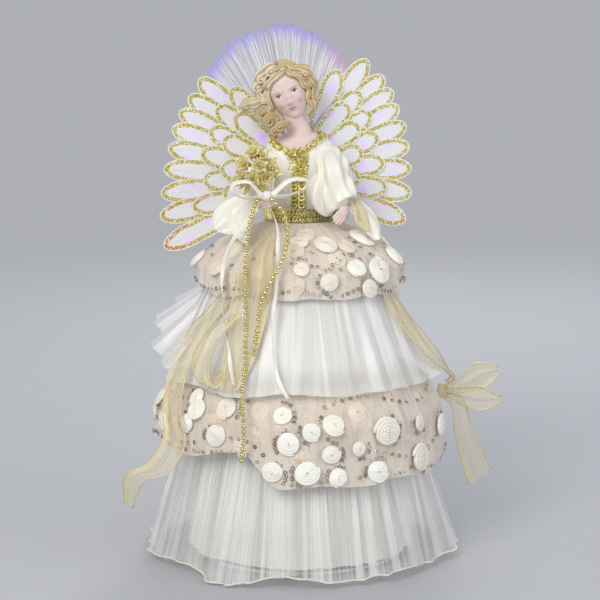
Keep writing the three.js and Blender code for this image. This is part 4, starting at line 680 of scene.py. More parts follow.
# %% Net tiers, gathered
tier_cloth = {}
for name, layer, node, counts, seed in [
        ("lower_net_tier", lower_tier, "lower_rosette_tier", (70, 24), 51),
        ("upper_net_tier", upper_tier, "upper_rosette_tier", (54, 20), 61)]:
    grid = skirt_grid(layer, 480, 44, -0.6, 0.6, 1.5, counts, seed)
    width, length = flat_size(grid)
    cloth = grid_piece(name, grid, (width, length), True)
    dress(cloth, [champagne_net], [node])
    tier_cloth[name] = (cloth, width, length)
    print(name, "flat width", round(width, 3), "m, length", round(length, 3), "m")

# %% [markdown]
# ## Coiled ribbon roses
# Each rose is a strip of satin ribbon coiled four and a half times and stitched down flat. One rose
# is a flattened tube along a spiral, with small puckers where the stitches pull. It is copied to each
# place, with its axis square to the cloth.

# %% Rose ribbon, satin
# Ivory satin ribbon that varies a little at random; the roses under the net are painted a darker tan: painted
# shade of the net over them.
rose_satin = toned("rose_ribbon_satin", {"Roughness": 0.4, "Sheen Weight": 0.25}, "FDFBF3", "E9D9C2")

# %% Rose model
rose_turns = 4.5
rose_steps = np.linspace(0, 1, 84)
rose_angle = rose_steps * rose_turns * 2 * np.pi
rose_radius = 0.3 + 7.4 * rose_steps ** 1.1
puckers = 1 + 0.1 * np.cos(7 * rose_angle) + 0.06 * np.cos(3 * rose_angle)
rose_path = np.column_stack([rose_radius * np.cos(rose_angle) * 1.04, rose_radius * np.sin(rose_angle) * 0.96,
                             1.2 + 1.2 * (1 - rose_steps ** 2) * puckers])
rose_width = (1.1 + 0.5 * rose_steps ** 3) * puckers * np.where(rose_steps > 0.97, 0.6, 1)
rose_height = 1.3 * puckers
rose_model = tube_piece("rose_model", rose_path, rose_height, rose_width, 6,
                        away=lambda point: np.array([point[0], point[1], 0.01]))
print("faces in one rose:", len(rose_model.data.polygons))

# %% Roses stitched on the tiers
def layer_frame(layer, angle, drop, lift=0.0):
    """A point on the layer, its outward direction, the direction round it and the one down it."""
    point = skirt_point(layer, angle, drop, lift)
    across = skirt_point(layer, angle + 0.01, drop, lift) - skirt_point(layer, angle - 0.01, drop, lift)
    down = skirt_point(layer, angle, min(1, drop + 0.02), lift) - skirt_point(
        layer, angle, max(0, drop - 0.02), lift)
    across, down = unit(across), unit(down)
    return point, unit(np.cross(down, across)), across, down


upper_roses = [
    (8.6, 0.26, 1.02), (48.8, 0.22, 1.1), (23.1, 0.57, 0.86), (36.2, 0.62, 1.15), (5.8, 0.73, 0.77),
    (-9.5, 0.55, 0.68), (-10.8, 0.22, 0.77), (29.9, 0.88, 0.8), (64, 0.5, 1)]
lower_roses = [
    (-90, 0.38, 0.86), (-78.5, 0.62, 0.86), (-58.4, 0.24, 0.77), (-40.8, 0.3, 0.93), (-55.5, 0.36, 0.93),
    (-59, 0.52, 0.77), (-44.2, 0.63, 0.93), (-14.1, 0.55, 0.93), (-5.5, 0.44, 0.77), (3.1, 0.39, 0.93),
    (1.8, 0.66, 0.77), (-7.4, 0.84, 1.02), (-20.3, 0.86, 0.86), (-17.1, 0.3, 0.77), (24.8, 0.49, 1.23),
    (43.9, 0.48, 0.65), (13.1, 0.62, 0.6), (20.6, 0.87, 0.93), (43.2, 0.82, 1.19), (4.5, 0.9, 0.77),
    (64, 0.6, 0.95)]


# These lie under the net, so only their puffed shapes show through it.
hidden_roses = {
    "upper_net_tier": [(-64, 0.6), (-60, 0.36), (-5, 0.14), (-14, 0.34), (13, 0.44), (48, 0.52), (-13, 0.79),
                       (-32, 0.44), (-47, 0.77), (25, 0.3), (76, 0.7)],
    "lower_net_tier": [(-27, 0.29), (-27, 0.56), (-12, 0.7), (5, 0.2), (14, 0.3), (-33, 0.8), (-62, 0.1),
                       (-46, 0.2), (33, 0.2), (24, 0.1), (-5, 0.1), (-21, 0.08), (34, 0.62), (-47, 0.47),
                       (52, 0.25), (-71, 0.57)]}


def with_back_roses(front, count):
    drops = [0.4, 0.78, 0.58]
    sizes = [1, 0.8, 0.9]
    back = [(102 + 160 * i / (count - 1), drops[i % 3], sizes[i % 3]) for i in range(count)]
    return [(math.radians(a), d, s) for a, d, s in front + back]


rose_spots = {"upper_net_tier": (upper_tier, with_back_roses(upper_roses, 6)),
              "lower_net_tier": (lower_tier, with_back_roses(lower_roses, 9))}
chance = np.random.RandomState(7)
for name, (layer, spots) in rose_spots.items():
    places, shades = [], []
    for angle, drop, size in spots:
        point, outward, across, down = layer_frame(layer, angle, drop, -0.3)
        turned = across * math.cos(angle * 40) + down * math.sin(angle * 40)
        places.append(placed(point, outward, turned, size * 1.12))
        shades.append(chance.choice([0, 0.1, 0.25, 0.4]))
    for degrees, drop in hidden_roses[name]:
        point, outward, across, down = layer_frame(layer, math.radians(degrees), drop, -3.0)
        places.append(placed(point, outward, across, 0.95))
        # The roses under the net take the darker tan: painted shade of the net over them.
        shades.append(0.7 + 0.3 * chance.rand())
    roses = copies(f"{name}_roses", rose_model, places, shades)
    dress(roses, [rose_satin])
    print(name, "has", len(places), "roses")
bpy.data.objects.remove(rose_model)

# %% [markdown]
# ## Ring sequins
# Small metallised rings, 3 mm wide, are sewn in arcs round the roses and in rows near the hems.
# One is a cupped ring of eight sides. Each copy is tilted a little by its stitch, which makes some
# of them flash.

# %% Sequin film, metallised
# Silvered film over a warm base. Each copy is painted a random tone from gunmetal to pale silver: a painted
# reflection of the floor in the dark ones and of a lamp in the bright ones.
silver_sequin = toned("silver_sequin_metallised", {"Metallic": 1.0, "Roughness": 0.22}, "5C5349", "E9E2D8")
gold_sequin = toned("gold_sequin_metallised", {"Metallic": 0.75, "Roughness": 0.3}, "CBB957", "FFF6B4")

# %% Sequin model
def sequin_ring(radius, hole, cup, thickness):
    bpy.ops.mesh.primitive_circle_add(vertices=8, radius=radius * mm)
    ring = bpy.context.object
    start_edit()
    bpy.ops.mesh.extrude_edges_move(TRANSFORM_OT_translate={"value": (0, 0, -cup * mm)})
    bpy.ops.transform.resize(value=(hole / radius, hole / radius, 1))
    bpy.ops.mesh.select_all(action="SELECT")
    bpy.ops.mesh.normals_make_consistent(inside=False)
    bpy.ops.object.mode_set(mode="OBJECT")
    apply_modifier(ring, "SOLIDIFY", thickness=thickness * mm)
    return ring


ring_model = sequin_ring(1.5, 0.8, 0.25, 0.15)
print("faces in one sequin:", len(ring_model.data.polygons))


rose_reach = 9  # the radius that a rose of size one takes up, in mm
sequin_spacing = 2.6  # the least distance from one sequin to the next, in mm


def sequin_places(layer, spots, seed, hem_rows):
    """Arcs round the roses and loose rows near the hem, where no rose and no other sequin lies."""
    picks = np.random.RandomState(seed)
    slant = layer["top"] - layer["hem"]
    roses = [(a, d, rose_reach * s) for a, d, s in spots]
    found = []

    def covered(angle, drop):
        radius = np.hypot(*skirt_point(layer, angle, drop)[:2])
        for a, d, r in roses:
            turn = (angle - a + math.pi) % (2 * math.pi) - math.pi
            if math.hypot(turn * radius, (drop - d) * slant) < r + sequin_spacing / 2:
                return True
        return any(abs((angle - a + math.pi) % (2 * math.pi) - math.pi) * radius < sequin_spacing
                   and abs(drop - d) * slant < sequin_spacing for a, d in found)

    for a, d, r in roses:
        radius = np.hypot(*skirt_point(layer, a, d)[:2])
        orbit = r + 2.4
        start = picks.rand() * 2 * math.pi
        for step in range(picks.randint(6, 11)):
            turn = start + step * 3.1 / orbit
            angle = a + orbit * math.cos(turn) / radius
            drop = d + orbit * math.sin(turn) / slant
            if 0.06 < drop < 0.98 and not covered(angle, drop):
                found.append((angle, drop))
    for base, swing, waves, spacing in hem_rows:
        radius = np.hypot(*skirt_point(layer, 0.0, base)[:2])
        count = int(2 * math.pi * radius / spacing)
        for i in range(count):
            angle = 2 * math.pi * i / count
            drop = base + swing * math.sin(waves * angle + seed)
            if picks.rand() < 0.8 and not covered(angle, drop):
                found.append((angle, drop))
    places = []
    for angle, drop in found:
        point, outward, across, down = layer_frame(layer, angle, drop, 0.9)
        outward = outward + across * picks.normal(0, 0.22) + down * picks.normal(0, 0.22)
        places.append(placed(point, outward, across))
    return places


sequin_rows = {"upper_net_tier": [(0.9, 0.05, 9, 4.4), (0.45, 0.1, 5, 8)],
               "lower_net_tier": [(0.93, 0.04, 11, 4.2), (0.72, 0.08, 7, 6.5), (0.22, 0.06, 6, 7)]}
for name, (layer, spots) in rose_spots.items():
    cloth, width, length = tier_cloth[name]
    places = sequin_places(layer, spots, 17 + len(spots), sequin_rows[name])
    rings = copies(f"{name}_sequins", ring_model, places)
    dress(rings, [silver_sequin])
    print(name, "has", len(places), "sequins")

# %% [markdown]
# ## Gold organza ribbons
# Wide gold organza ribbon with a wired edge hangs from the bouquet and round the hips, and ends in a
# bow at the right. A ribbon is a strip laid along a few rows on the skirt, crumpled a little along
# its length. A thread with the wire in it runs along both edges.

# %% Organza, woven with gold yarn
# Sparse gold yarn: a veil of warm colour, with brighter lines where it folds.
gold_organza = sheer_cloth("gold_organza_woven", "F3E7BC", "DDCA8E", 0.28, 0.44, 0.0008, 0.014, 0.4)

# %% Ribbons laid on the skirt
ribbon_width = 30
any_phase = 6.28  # a random start anywhere in a full turn


def strip(name, node, held, rests_on, centres, across, outward, widths, crumple, seed, bend_radius=90.0):
    """A sheet along a line of centres, with crumples and a bend across it, and its two wired edges."""
    rows = smooth_path(np.hstack([centres, across, outward, np.array(widths)[:, None]]), 9)
    centre, side, out, width = rows[:, :3], unit(rows[:, 3:6]), unit(rows[:, 6:9]), rows[:, 9]
    length = np.concatenate([[0], np.cumsum(steps_along(centre))])
    slow = np.random.RandomState(seed).rand(4) * any_phase
    grid = []
    for s in np.linspace(-1, 1, 15):
        wave = np.sin(s * 5.5 + slow[0] + 1.2 * np.sin(length / 17 + slow[1]))
        wave = wave + 0.6 * np.sin(s * 11 + slow[2] + np.sin(length / 9 + slow[3]))
        reach = s * width / 2
        lift = crumple * (wave + 1.2) - reach ** 2 / (2 * bend_radius)
        grid.append(centre + side * reach[:, None] + out * lift[:, None])
    grid = np.array(grid).transpose(1, 0, 2)
    size = (float(steps_along(grid[len(grid) // 2]).sum() * mm), float(length[-1] * mm))
    cloth = grid_piece(name, grid, size)
    edges = [tube_piece(f"{name}_edge", even_path(grid[:, k], 2.5), 0.55, 0.55, 6, (0.003, 0.2))
             for k in (0, -1)]
    wired = join_pieces(f"{name}_wired_edge", edges)
    dress(cloth, [gold_organza], [node])
    dress(wired, [gold_thread])
    print(name, "flat", [round(value, 3) for value in size], "m")


def laid_rows(layer_rows):
    centres, across, outward, widths = [], [], [], []
    for layer, rows in layer_rows:
        for degrees, drop, lift, width in rows:
            height = ribbon_width * lift + 0.8
            point, out, side, down = layer_frame(layer, math.radians(degrees), drop, height)
            centres.append(point)
            across.append(side)
            outward.append(out)
            widths.append(ribbon_width * width)
    return np.array(centres), np.array(across), np.array(outward), widths


# Each row is the angle, the drop, and the lift and width as shares of the ribbon's full width.
ribbon_rows = {
    "front_ribbon": [
        (upper_tier, [(-36, 0.14, 0.05, 0.3), (-35, 0.32, 0.05, 0.6), (-33.5, 0.62, 0.06, 0.95),
                      (-34, 0.9, 0.08, 1)]),
        (upper_tulle, [(-36, 0.26, 0.28, 1), (-37, 0.6, 0.14, 0.9), (-37.5, 0.78, 0.1, 0.7),
                       (-38, 0.94, 0.1, 0.4)])],
    "left_ribbon": [
        (upper_tulle, [(-50, 0.1, 0.04, 0.4), (-60, 0.32, 0.04, 0.5), (-68, 0.5, 0.04, 0.7),
                       (-69, 0.75, 0.05, 0.7), (-67, 0.97, 0.15, 0.75)]),
        (lower_tier, [(-65, 0.42, 0.15, 0.75), (-62, 0.76, 0.15, 0.8)]),
        (lower_organza, [(-64, 0.35, 1.07, 0.9), (-69, 0.43, 1.4, 0.8), (-74, 0.62, 1.15, 0.7)])],
    "right_ribbon": [
        (upper_tulle, [(50, 0.2, 0.04, 0.6), (58, 0.5, 0.05, 0.85), (68, 0.84, 0.08, 0.85)]),
        (lower_tier, [(82, 0.2, 0.55, 0.5), (89, 0.3, 0.35, 0.22)])],
    "front_ribbon_loop": [
        (upper_tulle, [(-40, 0.3, 0.4, 0.3), (-49, 0.5, 0.45, 0.6), (-53, 0.75, 0.4, 0.75),
                       (-48, 0.93, 0.2, 0.5), (-42, 0.8, 0.08, 0.3)])]}
for number, (part, rows) in enumerate(ribbon_rows.items()):
    strip(f"{part}_organza", part.replace("_loop", ""), "laid", "upper_organza_outer", *laid_rows(rows), 1.5,
          70 + number)

# %% Bow at the right hip
bow_centre = np.array([114.6, 4.0, 119.2])
bow_strips = {
    "upper_loop": [(0.0, 0, 0.02, 0.2), (0.5, 0, 0.16, 0.45), (0.97, -0.04, 0.39, 0.7),
                   (1.52, 0, 0.51, 0.12)],
    "lower_loop": [(0.0, -0.06, 0.0, 0.2), (0.5, -0.08, -0.11, 0.45), (0.97, -0.12, -0.23, 0.62),
                   (1.56, -0.08, -0.27, 0.12)],
    "tail": [(0.1, -0.06, -0.1, 0.22), (0.39, -0.08, -0.35, 0.4), (0.58, -0.12, -1.24, 0.62),
             (1.01, -0.08, -2.34, 0.8)]}
for number, (part, rows) in enumerate(bow_strips.items()):
    rows = np.array(rows)
    centres = bow_centre + ribbon_width * rows[:, :3]
    outward = np.tile([0.35, -0.94, 0.0], (len(rows), 1))
    across = np.cross(outward, np.gradient(centres, axis=0))
    strip(f"hip_bow_{part}", "right_ribbon_bow", "folded", "lower_net_tier", centres, across, outward,
          ribbon_width * rows[:, 3], 1.1, 90 + number, 400.0)
bpy.ops.mesh.primitive_uv_sphere_add(segments=20, ring_count=12, radius=1)
bow_knot = bpy.context.object
bow_knot.name = "hip_bow_knot"
start_edit()
bpy.ops.transform.resize(value=(4.6 * mm, 5.6 * mm, 6.2 * mm))
bpy.ops.transform.translate(value=Vector(bow_centre) * mm)
bpy.ops.object.mode_set(mode="OBJECT")
for vertex in bow_knot.data.vertices:
    spot = np.array(vertex.co) / mm - bow_centre
    pinch = 1 + 0.12 * math.cos(6 * math.atan2(spot[2], spot[1]) + 0.4 * spot[0])
    vertex.co = Vector((bow_centre + spot * pinch) * mm)
bow_knot.data.shade_smooth()
dress(bow_knot, [gold_organza])
print("bow strips:", len(bow_strips))

# %% [markdown]
# ## Wings
# Each wing is three rows of petals cut from stiff cloth: a white cut edge, a border of gold glitter
# and a pearly field. A petal starts as a disc, is drawn out to its outline, and its border comes from
# two insets. Petals of one row are tilted a little so that each one laps over the next.

# %% Petal cloth, glitter and pearl
# White stiff felt shows at the cut edge.
petal_felt = mottled("petal_felt_cut", {"Roughness": 0.8, "Sheen Weight": 0.3}, 0.002, "FBFAF6", "E9E6DE")


# Glitter is cut metallised film in glue: flakes of 0.4 mm that lie at random, each a tone between dark and
# middle gold, and a few painted near white as glints that flash one by one.
def flake_material(name, dark, middle, bright, flake, roughness):
    material, shader, add = start_material(name, {"Metallic": 0.3, "Roughness": roughness})
    place = add("TexCoord")
    flakes = add("TexVoronoi", {"Vector": place.outputs["Object"], "Scale": 1 / flake})
    pick_one = add("SeparateColor", {"Color": flakes.outputs["Color"]})
    low = add("Mix", {0: pick_one.outputs["Red"], 6: paint(dark), 7: paint(middle)})
    # A few flakes at random are painted near white: painted glints.
    painted_flake_glint = add("MapRange", {"Value": pick_one.outputs["Green"], "From Min": 0.72, "From Max": 0.8})
    stain = add("Attribute", attribute_name="amber")
    warm = add("Mix", {0: stain.outputs["Fac"], 6: low, 7: paint("CF8A3A")})
    glinted_tone = add("Mix", {0: painted_flake_glint, 6: warm, 7: paint(bright)})
    lean = add("Bump", {"Height": pick_one.outputs["Blue"], "Strength": 0.7, "Distance": 0.0004})
    feed(shader, {"Base Color": glinted_tone, "Normal": lean})
    return material


gold_glitter = flake_material("gold_glitter_glued", "B5A548", "E2D47E", "FFFFEA", 0.0009, 0.4)
# The flowers' glitter is painted paler, with flakes that lie closer: painted light that offsets the shade
# among their small petals.
painted_paler_glitter = flake_material("gold_glitter_painted_paler", "D2C064", "F4E698", "FFFFF0", 0.0008, 0.35)

# Pearl powder on the field gives a soft white with a faint violet cast near the lit fibre ends.
pearl_field, shader, add = start_material("pearl_powder_field", {
    "Roughness": 0.45, "Sheen Weight": 0.4, "Coat Weight": 0.2, "Coat Roughness": 0.3})
field_place = add("TexCoord")
grain = add("TexNoise", {"Vector": field_place.outputs["Object"], "Scale": 1 / 0.0012, "Detail": 2})
field_tone = add("Mix", {0: grain, 6: paint("DEDDE6"), 7: paint("FBFAFC")})
# The light of a fibre end is painted on the powder as a soft glowing spot, 12 mm wide; spots lie 20 mm apart.
from_front = add("Mapping", {"Vector": field_place.outputs["Object"], "Rotation": (math.pi / 2, 0, 0)})
fibre_spots = add("TexVoronoi", {"Vector": from_front, "Scale": 1 / 0.02}, voronoi_dimensions="2D")
spot_light = add("MapRange", {
    "Value": fibre_spots, "From Min": 0.36, "From Max": 0.0}, interpolation_type="SMOOTHSTEP")
lit_share = add("Attribute", attribute_name="shade")
glow_shade = add("Math", {0: spot_light, 1: lit_share.outputs["Fac"]}, operation="MULTIPLY")
lit_tone = add("Mix", {0: glow_shade, 6: field_tone, 7: paint("C79FF5")})
field_lit = add("Math", {0: glow_shade, 1: 0.4}, operation="MULTIPLY")
feed(shader, {"Base Color": lit_tone, "Emission Color": lit_tone, "Emission Strength": field_lit})

# %% Petal, drawn from a disc
def petal(root, tip, width, front, lean, glow):
    """A petal from root to tip in x and z, in mm; front is its y, lean tilts it about its length."""
    bpy.ops.mesh.primitive_circle_add(vertices=36, radius=1, fill_type="NGON")
    made = bpy.context.object
    for material in (petal_felt, gold_glitter, pearl_field):
        made.data.materials.append(material)
    root, tip = np.array(root, float), np.array(tip, float)
    length = np.linalg.norm(tip - root)
    ahead = unit(tip - root)
    beside = np.array([ahead[1], -ahead[0]])
    for vertex in made.data.vertices:
        turn = math.atan2(vertex.co.y, vertex.co.x)
        t = (1 + math.cos(turn)) / 2
        share = float(np.interp(t, (0, 0.02, 0.4, 0.8, 1), (0.3, 0.42, 0.85, 1, 1)))
        if t > 0.78:
            share = math.sqrt(max(0, 1 - ((t - 0.78) / 0.22) ** 2))
        s = math.copysign(share * width / 2, math.sin(turn)) if abs(math.sin(turn)) > 1e-6 else 0
        flat = root + ahead * t * length + beside * s
        vertex.co = Vector((flat[0], front, flat[1])) * mm
    start_edit()
    bpy.ops.mesh.normals_make_consistent(inside=False)
    for slot, (inset, rise) in enumerate(((0.7, 0.12), (2.9, -0.15)), 1):
        bpy.ops.mesh.inset(thickness=inset * mm, depth=rise * mm)
        made.active_material_index = slot
        bpy.ops.object.material_slot_assign()
    bpy.ops.mesh.inset(thickness=1.2 * mm, depth=-0.05 * mm)
    bpy.ops.mesh.poke()
    bpy.ops.object.mode_set(mode="OBJECT")
    if made.data.polygons[0].normal.y > 0:
        made.data.flip_normals()
    # Petals whose tips hang lower than 275 mm are dusted amber at their ends.
    low_tip = max(0.0, min(1.0, (275 - tip[1]) / 40))
    lit, stained = [], []
    for vertex in made.data.vertices:
        spot = np.array([vertex.co.x, vertex.co.z]) / mm
        across = float(np.dot(spot - root, beside))
        t = float(np.dot(spot - root, ahead)) / length
        vertex.co.y += across * lean * mm - math.sin(min(1, max(0, t)) * math.pi) * 0.3 * mm
        lit.append(glow * max(0, min(1, (0.98 - t) / 0.2)))
        stained.append(0.8 * low_tip * max(0, min(1, (t - 0.7) / 0.25)))
    keep(made, "shade", lit)
    keep(made, "amber", stained)
    apply_modifier(made, "SOLIDIFY", thickness=0.5 * mm, offset=-1)
    made.data.shade_flat()
    return made


# %% Rows of petals
hubs = {"left": (-16, 296), "right": (14, 302)}
petal_tips = {
    "left_wing_long_feathers": [
        (-0.567, 0.663), (-0.645, 0.535), (-0.715, 0.422), (-0.769, 0.301), (-0.801, 0.157),
        (-0.834, -0.003), (-0.858, -0.187), (-0.868, -0.363), (-0.84, -0.588)],
    "left_wing_middle_feathers": [
        (-0.324, 0.593), (-0.44, 0.458), (-0.495, 0.29), (-0.56, 0.117), (-0.545, -0.09), (-0.625, -0.296)],
    "left_wing_short_feathers": [(-0.3, 0.4), (-0.4, 0.21), (-0.42, 0), (-0.4, -0.2)],
    "right_wing_long_feathers": [
        (0.413, 0.738), (0.54, 0.614), (0.612, 0.506), (0.66, 0.382), (0.717, 0.242), (0.742, 0.086),
        (0.76, -0.086), (0.761, -0.282), (0.715, -0.485)],
    "right_wing_middle_feathers": [
        (0.191, 0.663), (0.356, 0.501), (0.44, 0.34), (0.5, 0.16), (0.55, -0.04), (0.566, -0.237)],
    "right_wing_short_feathers": [(0.26, 0.41), (0.349, 0.247), (0.38, 0.05), (0.36, -0.15)]}
row_fronts = {"long": 20.85, "middle": 19.2, "short": 17.55}
wing_reach = 103  # the tips above are shares of this length, measured from the hub
petal_width = 18.4
for node, tips in petal_tips.items():
    side, _, row = node.split("_")[:3]
    hub = np.array(hubs[side], float)
    sign = -1 if side == "left" else 1
    made = []
    for i, tip in enumerate(tips):
        root = (sign * 8, hub[1] + 6 - 22 * i / (len(tips) - 1))
        glow = 0.75 if row == "long" else 1.0
        made.append(petal(root, hub + wing_reach * np.array(tip), petal_width, row_fronts[row],
                          sign * 0.06, glow))
    wing_row = join_pieces(node.replace("feathers", "petals"), made)
    dress(wing_row, [petal_felt, gold_glitter, pearl_field], [node])
    print(wing_row.name, "faces:", len(wing_row.data.polygons))

# %% [markdown]
# ## Fibre fan
# Clear acrylic fibres rise from a block behind the shoulders and carry the light of the lamp to their
# cut ends, which glow violet and pink. Their sides only catch the room, so they look like thin grey
# lines. Each one is a thin tube of three sides, bent a little along its length.

# %% Fibre, drawn acrylic
# Clear plastic with a bright skin; the sides leak a little light and the ends are lit.
clear_fibre, shader, add = start_material("clear_fibre_drawn", {
    "Roughness": 0.15, "Specular IOR Level": 0.8, "Coat Weight": 0.3})
fibre_shade = add("Attribute", attribute_name="shade")
fibre_end = add("Attribute", attribute_name="glow")
fibre_side = add("Mix", {0: fibre_shade.outputs["Fac"], 6: paint("F2F2F6"), 7: paint("FFFFFF")})
fibre_light = add("Mix", {0: fibre_shade.outputs["Fac"], 6: paint("8468E8"), 7: paint("EC6E90")})
fibre_mix = add("Mix", {0: fibre_end.outputs["Fac"], 6: fibre_side, 7: fibre_light})
# A little light leaks out along the fibre, and most of it leaves at the cut end.
fibre_power = add("Math", {0: fibre_end.outputs["Fac"], 1: 0.4, 2: 0.12}, operation="MULTIPLY_ADD")
feed(shader, {"Base Color": fibre_mix, "Emission Color": fibre_mix, "Emission Strength": fibre_power})

# %% Fibres of the fan
def fibre_bunch(name, lines, radius, glow_length, shades, steps=9):
    """Thin tubes of three sides; a line is its start, the point that bends it and its end."""
    points, faces, ends, tints = [], [], [], []
    for (start, bend, stop), tint in zip(lines, shades):
        t = np.linspace(0, 1, steps)[:, None]
        line = (1 - t) ** 2 * start + 2 * t * (1 - t) * bend + t ** 2 * stop
        rings = tube_grid(line, radius, radius, 3)
        first = len(points)
        left = np.linalg.norm(line - line[-1], axis=1)
        for i in range(steps):
            points.extend(rings[i])
            ends.extend([max(0.0, 1 - left[i] / glow_length)] * 3)
            tints.extend([tint] * 3)
            for k in range(3):
                if i:
                    a, b = first + (i - 1) * 3, first + i * 3
                    faces.append((a + k, b + k, b + (k + 1) % 3, a + (k + 1) % 3))
        faces.append((first, first + 1, first + 2))
        last = first + 3 * (steps - 1)
        faces.append((last + 2, last + 1, last))
    piece = new_piece(name, (np.array(points) * mm).tolist(), faces)
    keep(piece, "glow", ends)
    keep(piece, "shade", tints)
    return piece


picks = np.random.RandomState(5)
fan_lines, fan_shades = [], []
for i in range(440):
    share = picks.rand()
    turn = math.radians(-112 + 212 * share)
    reach = 61 * (1 - abs(picks.normal(0, 0.055)))
    depth = picks.rand()
    start = np.array([(share - 0.5) * 28 + picks.normal(0, 0.8), 29 + (depth - 0.5) * 4, 296.2])
    stop = np.array([-10.2 + reach * math.sin(turn), 29 + (depth - 0.2) * 12, 345 + reach * math.cos(turn)])
    bend = start + (stop - start) * 0.5 + np.array([-(share - 0.5) * 16, 0, 6 * math.cos(turn)])
    fan_lines.append((start, bend, stop))
    fan_shades.append(min(1, max(0, (turn - 0.5) / 0.9 + picks.normal(0, 0.12))))
halo = fibre_bunch("fibre_fan", fan_lines, 0.18, 2.6, fan_shades)
dress(halo, [clear_fibre], ["halo_fibres"])
for side, (hub_x, hub_z) in hubs.items():
    sign = -1 if side == "left" else 1
    wing_lines = []
    for i in range(18):
        start = np.array([sign * (6 + 6 * picks.rand()), 26.6, 293 + 2 * picks.rand()])
        reach = 24 + 38 * picks.rand()
        climb = -32 + 4.2 * i
        stop = np.array([hub_x + sign * reach, 23.4 + picks.rand(), hub_z + climb * reach / 50])
        wing_lines.append((start, (start + stop) / 2 + np.array([0, 1.2, 4]), stop))
    wing_light = fibre_bunch(f"{side}_wing_light", wing_lines, 0.3, 3, [0.1] * len(wing_lines))
    dress(wing_light, [clear_fibre], [f"{side}_wing_fibres"])
bpy.ops.mesh.primitive_cube_add(size=1, location=(0, 29 * mm, 293.4 * mm), scale=(30 * mm, 5.2 * mm, 6 * mm))
fan_block = bpy.context.object
fan_block.name = "fibre_fan_block"
bpy.ops.object.transform_apply(location=True, rotation=True, scale=True)
apply_modifier(fan_block, "BEVEL", width=0.6 * mm, segments=3)
bpy.ops.object.shade_smooth_by_angle(angle=math.radians(40))
print("fibre faces:", len(halo.data.polygons))

# %% [markdown]
# ## Bodice and sleeves
# The bodice and the sleeves are satin cut with room to spare, so they puff between the seams and fall
# in diagonal folds. Each is a sheet wrapped round the arm or the body. Waves that run both along it and
# round it push it in and out, and they are deepest where the cloth is fullest. The hanging cuffs are
# shaped bands with a fold or two, and the right one shows its lining of gold organza.

# %% Bodice
waist_height = 253.7
body_middle = -1.5  # the middle of the body, front to back
shoulder_height = 303.7
shoulder_radii = (27, 15, 22)  # half the width, depth and height of the shoulder plate
angle = np.linspace(0, 2 * np.pi, 180, endpoint=False)


def body_radii(rise, extra):
    """Half the body's width and depth at a rise above the waist, and extra cloth on it, in mm."""
    width = np.interp(rise, (0, 20, 41, 58), (43, 44.5, 50, 48)) / 2 + extra
    return width, np.interp(rise, (0, 20, 41, 58), (25, 26.5, 29, 26)) / 2 + extra


def oval_ring(rise, extra):
    width, depth = body_radii(rise, extra)
    return np.column_stack([width * np.sin(angle), body_middle - depth * np.cos(angle),
                            waist_height + rise + 0 * angle])


# Round the neck the satin follows the shoulders up to the collar, which dips at the front.
collar_share = 0.76 + 0.18 * np.maximum(0, np.cos(angle + 0.3)) ** 3
collar_share -= 0.16 * np.maximum(0, np.sin(angle)) ** 2


def shoulder_ring(share, extra):
    wide, deep, tall = (radius + extra for radius in shoulder_radii)
    height = shoulder_height + tall * np.sqrt(np.maximum(0, 1 - share ** 2))
    return np.column_stack([wide * share * np.sin(angle), body_middle - deep * share * np.cos(angle), height])


bodice_rows = []
for rise in np.linspace(4, 60, 50):
    pull = math.exp(-(rise - 4) / 14)
    folds = 0.5 * pull * np.sin(26 * angle + 2 * np.sin(3 * angle))
    folds = folds + 1.2 * (1 - pull) * np.sin(5 * angle + rise / 6) * np.sin(rise / 7 + 2 * np.sin(2 * angle))
    climb = max(0.0, (rise - 44) / 16)
    folds *= 1 - 0.85 * climb
    ring = oval_ring(min(rise, 44), 1.1 + 1.6 * min(1, max(0, (rise - 34) / 10)))
    if climb:
        ring = shoulder_ring(1 - climb * (1 - collar_share), 1.1)
    out = unit(ring - np.array([0, body_middle, waist_height + rise]))
    bodice_rows.append(ring + out * folds[:, None])
bodice = grid_piece("bodice_satin", bodice_rows[::-1], (0.125, 0.066), True)
dress(bodice, [ivory_satin], ["bodice"])
print("bodice area in square metres:", round(cloth_area(bodice), 4))

# %% Sleeves
bodice_height = 58


def on_body(shares):
    """Places in mm from x, y and z given as shares of the bodice's height, from the waist up."""
    return np.array(shares)[:, :3] * bodice_height + np.array([0, 0, waist_height])


def puffed_sleeve(name, node, shares, seed):
    radii = np.array(shares)[:, 3] * bodice_height
    path = smooth_path(np.column_stack([on_body(shares), radii]), 14)
    radius = path[:, 3]
    along, side, up = path_frames(path[:, :3])
    slow = np.random.RandomState(seed).rand(5) * any_phase
    turn = np.linspace(0, 2 * np.pi, 96, endpoint=False)
    grid = []
    for i, point in enumerate(path[:, :3]):
        t = i / (len(path) - 1)
        full = math.sin(math.pi * min(1, max(0, t))) * 0.9 + 0.25
        fold = 0.16 * np.sin(3 * turn + 7 * t + slow[0] + np.sin(5 * t + slow[1]))
        fold = fold - 0.28 * np.abs(np.sin(3.5 * turn - 5 * t + slow[2] + 1.3 * np.sin(2 * turn))) ** 3 + 0.08
        fold = fold + 0.05 * np.sin(11 * turn + 4 * t + slow[3])
        reach = radius[i] * (1 + full * fold)
        grid.append(point + np.outer(np.cos(turn) * reach, side[i]) + np.outer(np.sin(turn) * reach, up[i]))
    grid = np.array(grid)[:, ::-1]
    girth = float(2 * np.pi * radius.mean() * mm)
    length = float(steps_along(path[:, :3]).sum() * mm)
    sleeve = grid_piece(name, grid, (girth, length), True)
    dress(sleeve, [ivory_satin], [node])
    print(name, "girth", round(girth, 3), "length", round(length, 3))


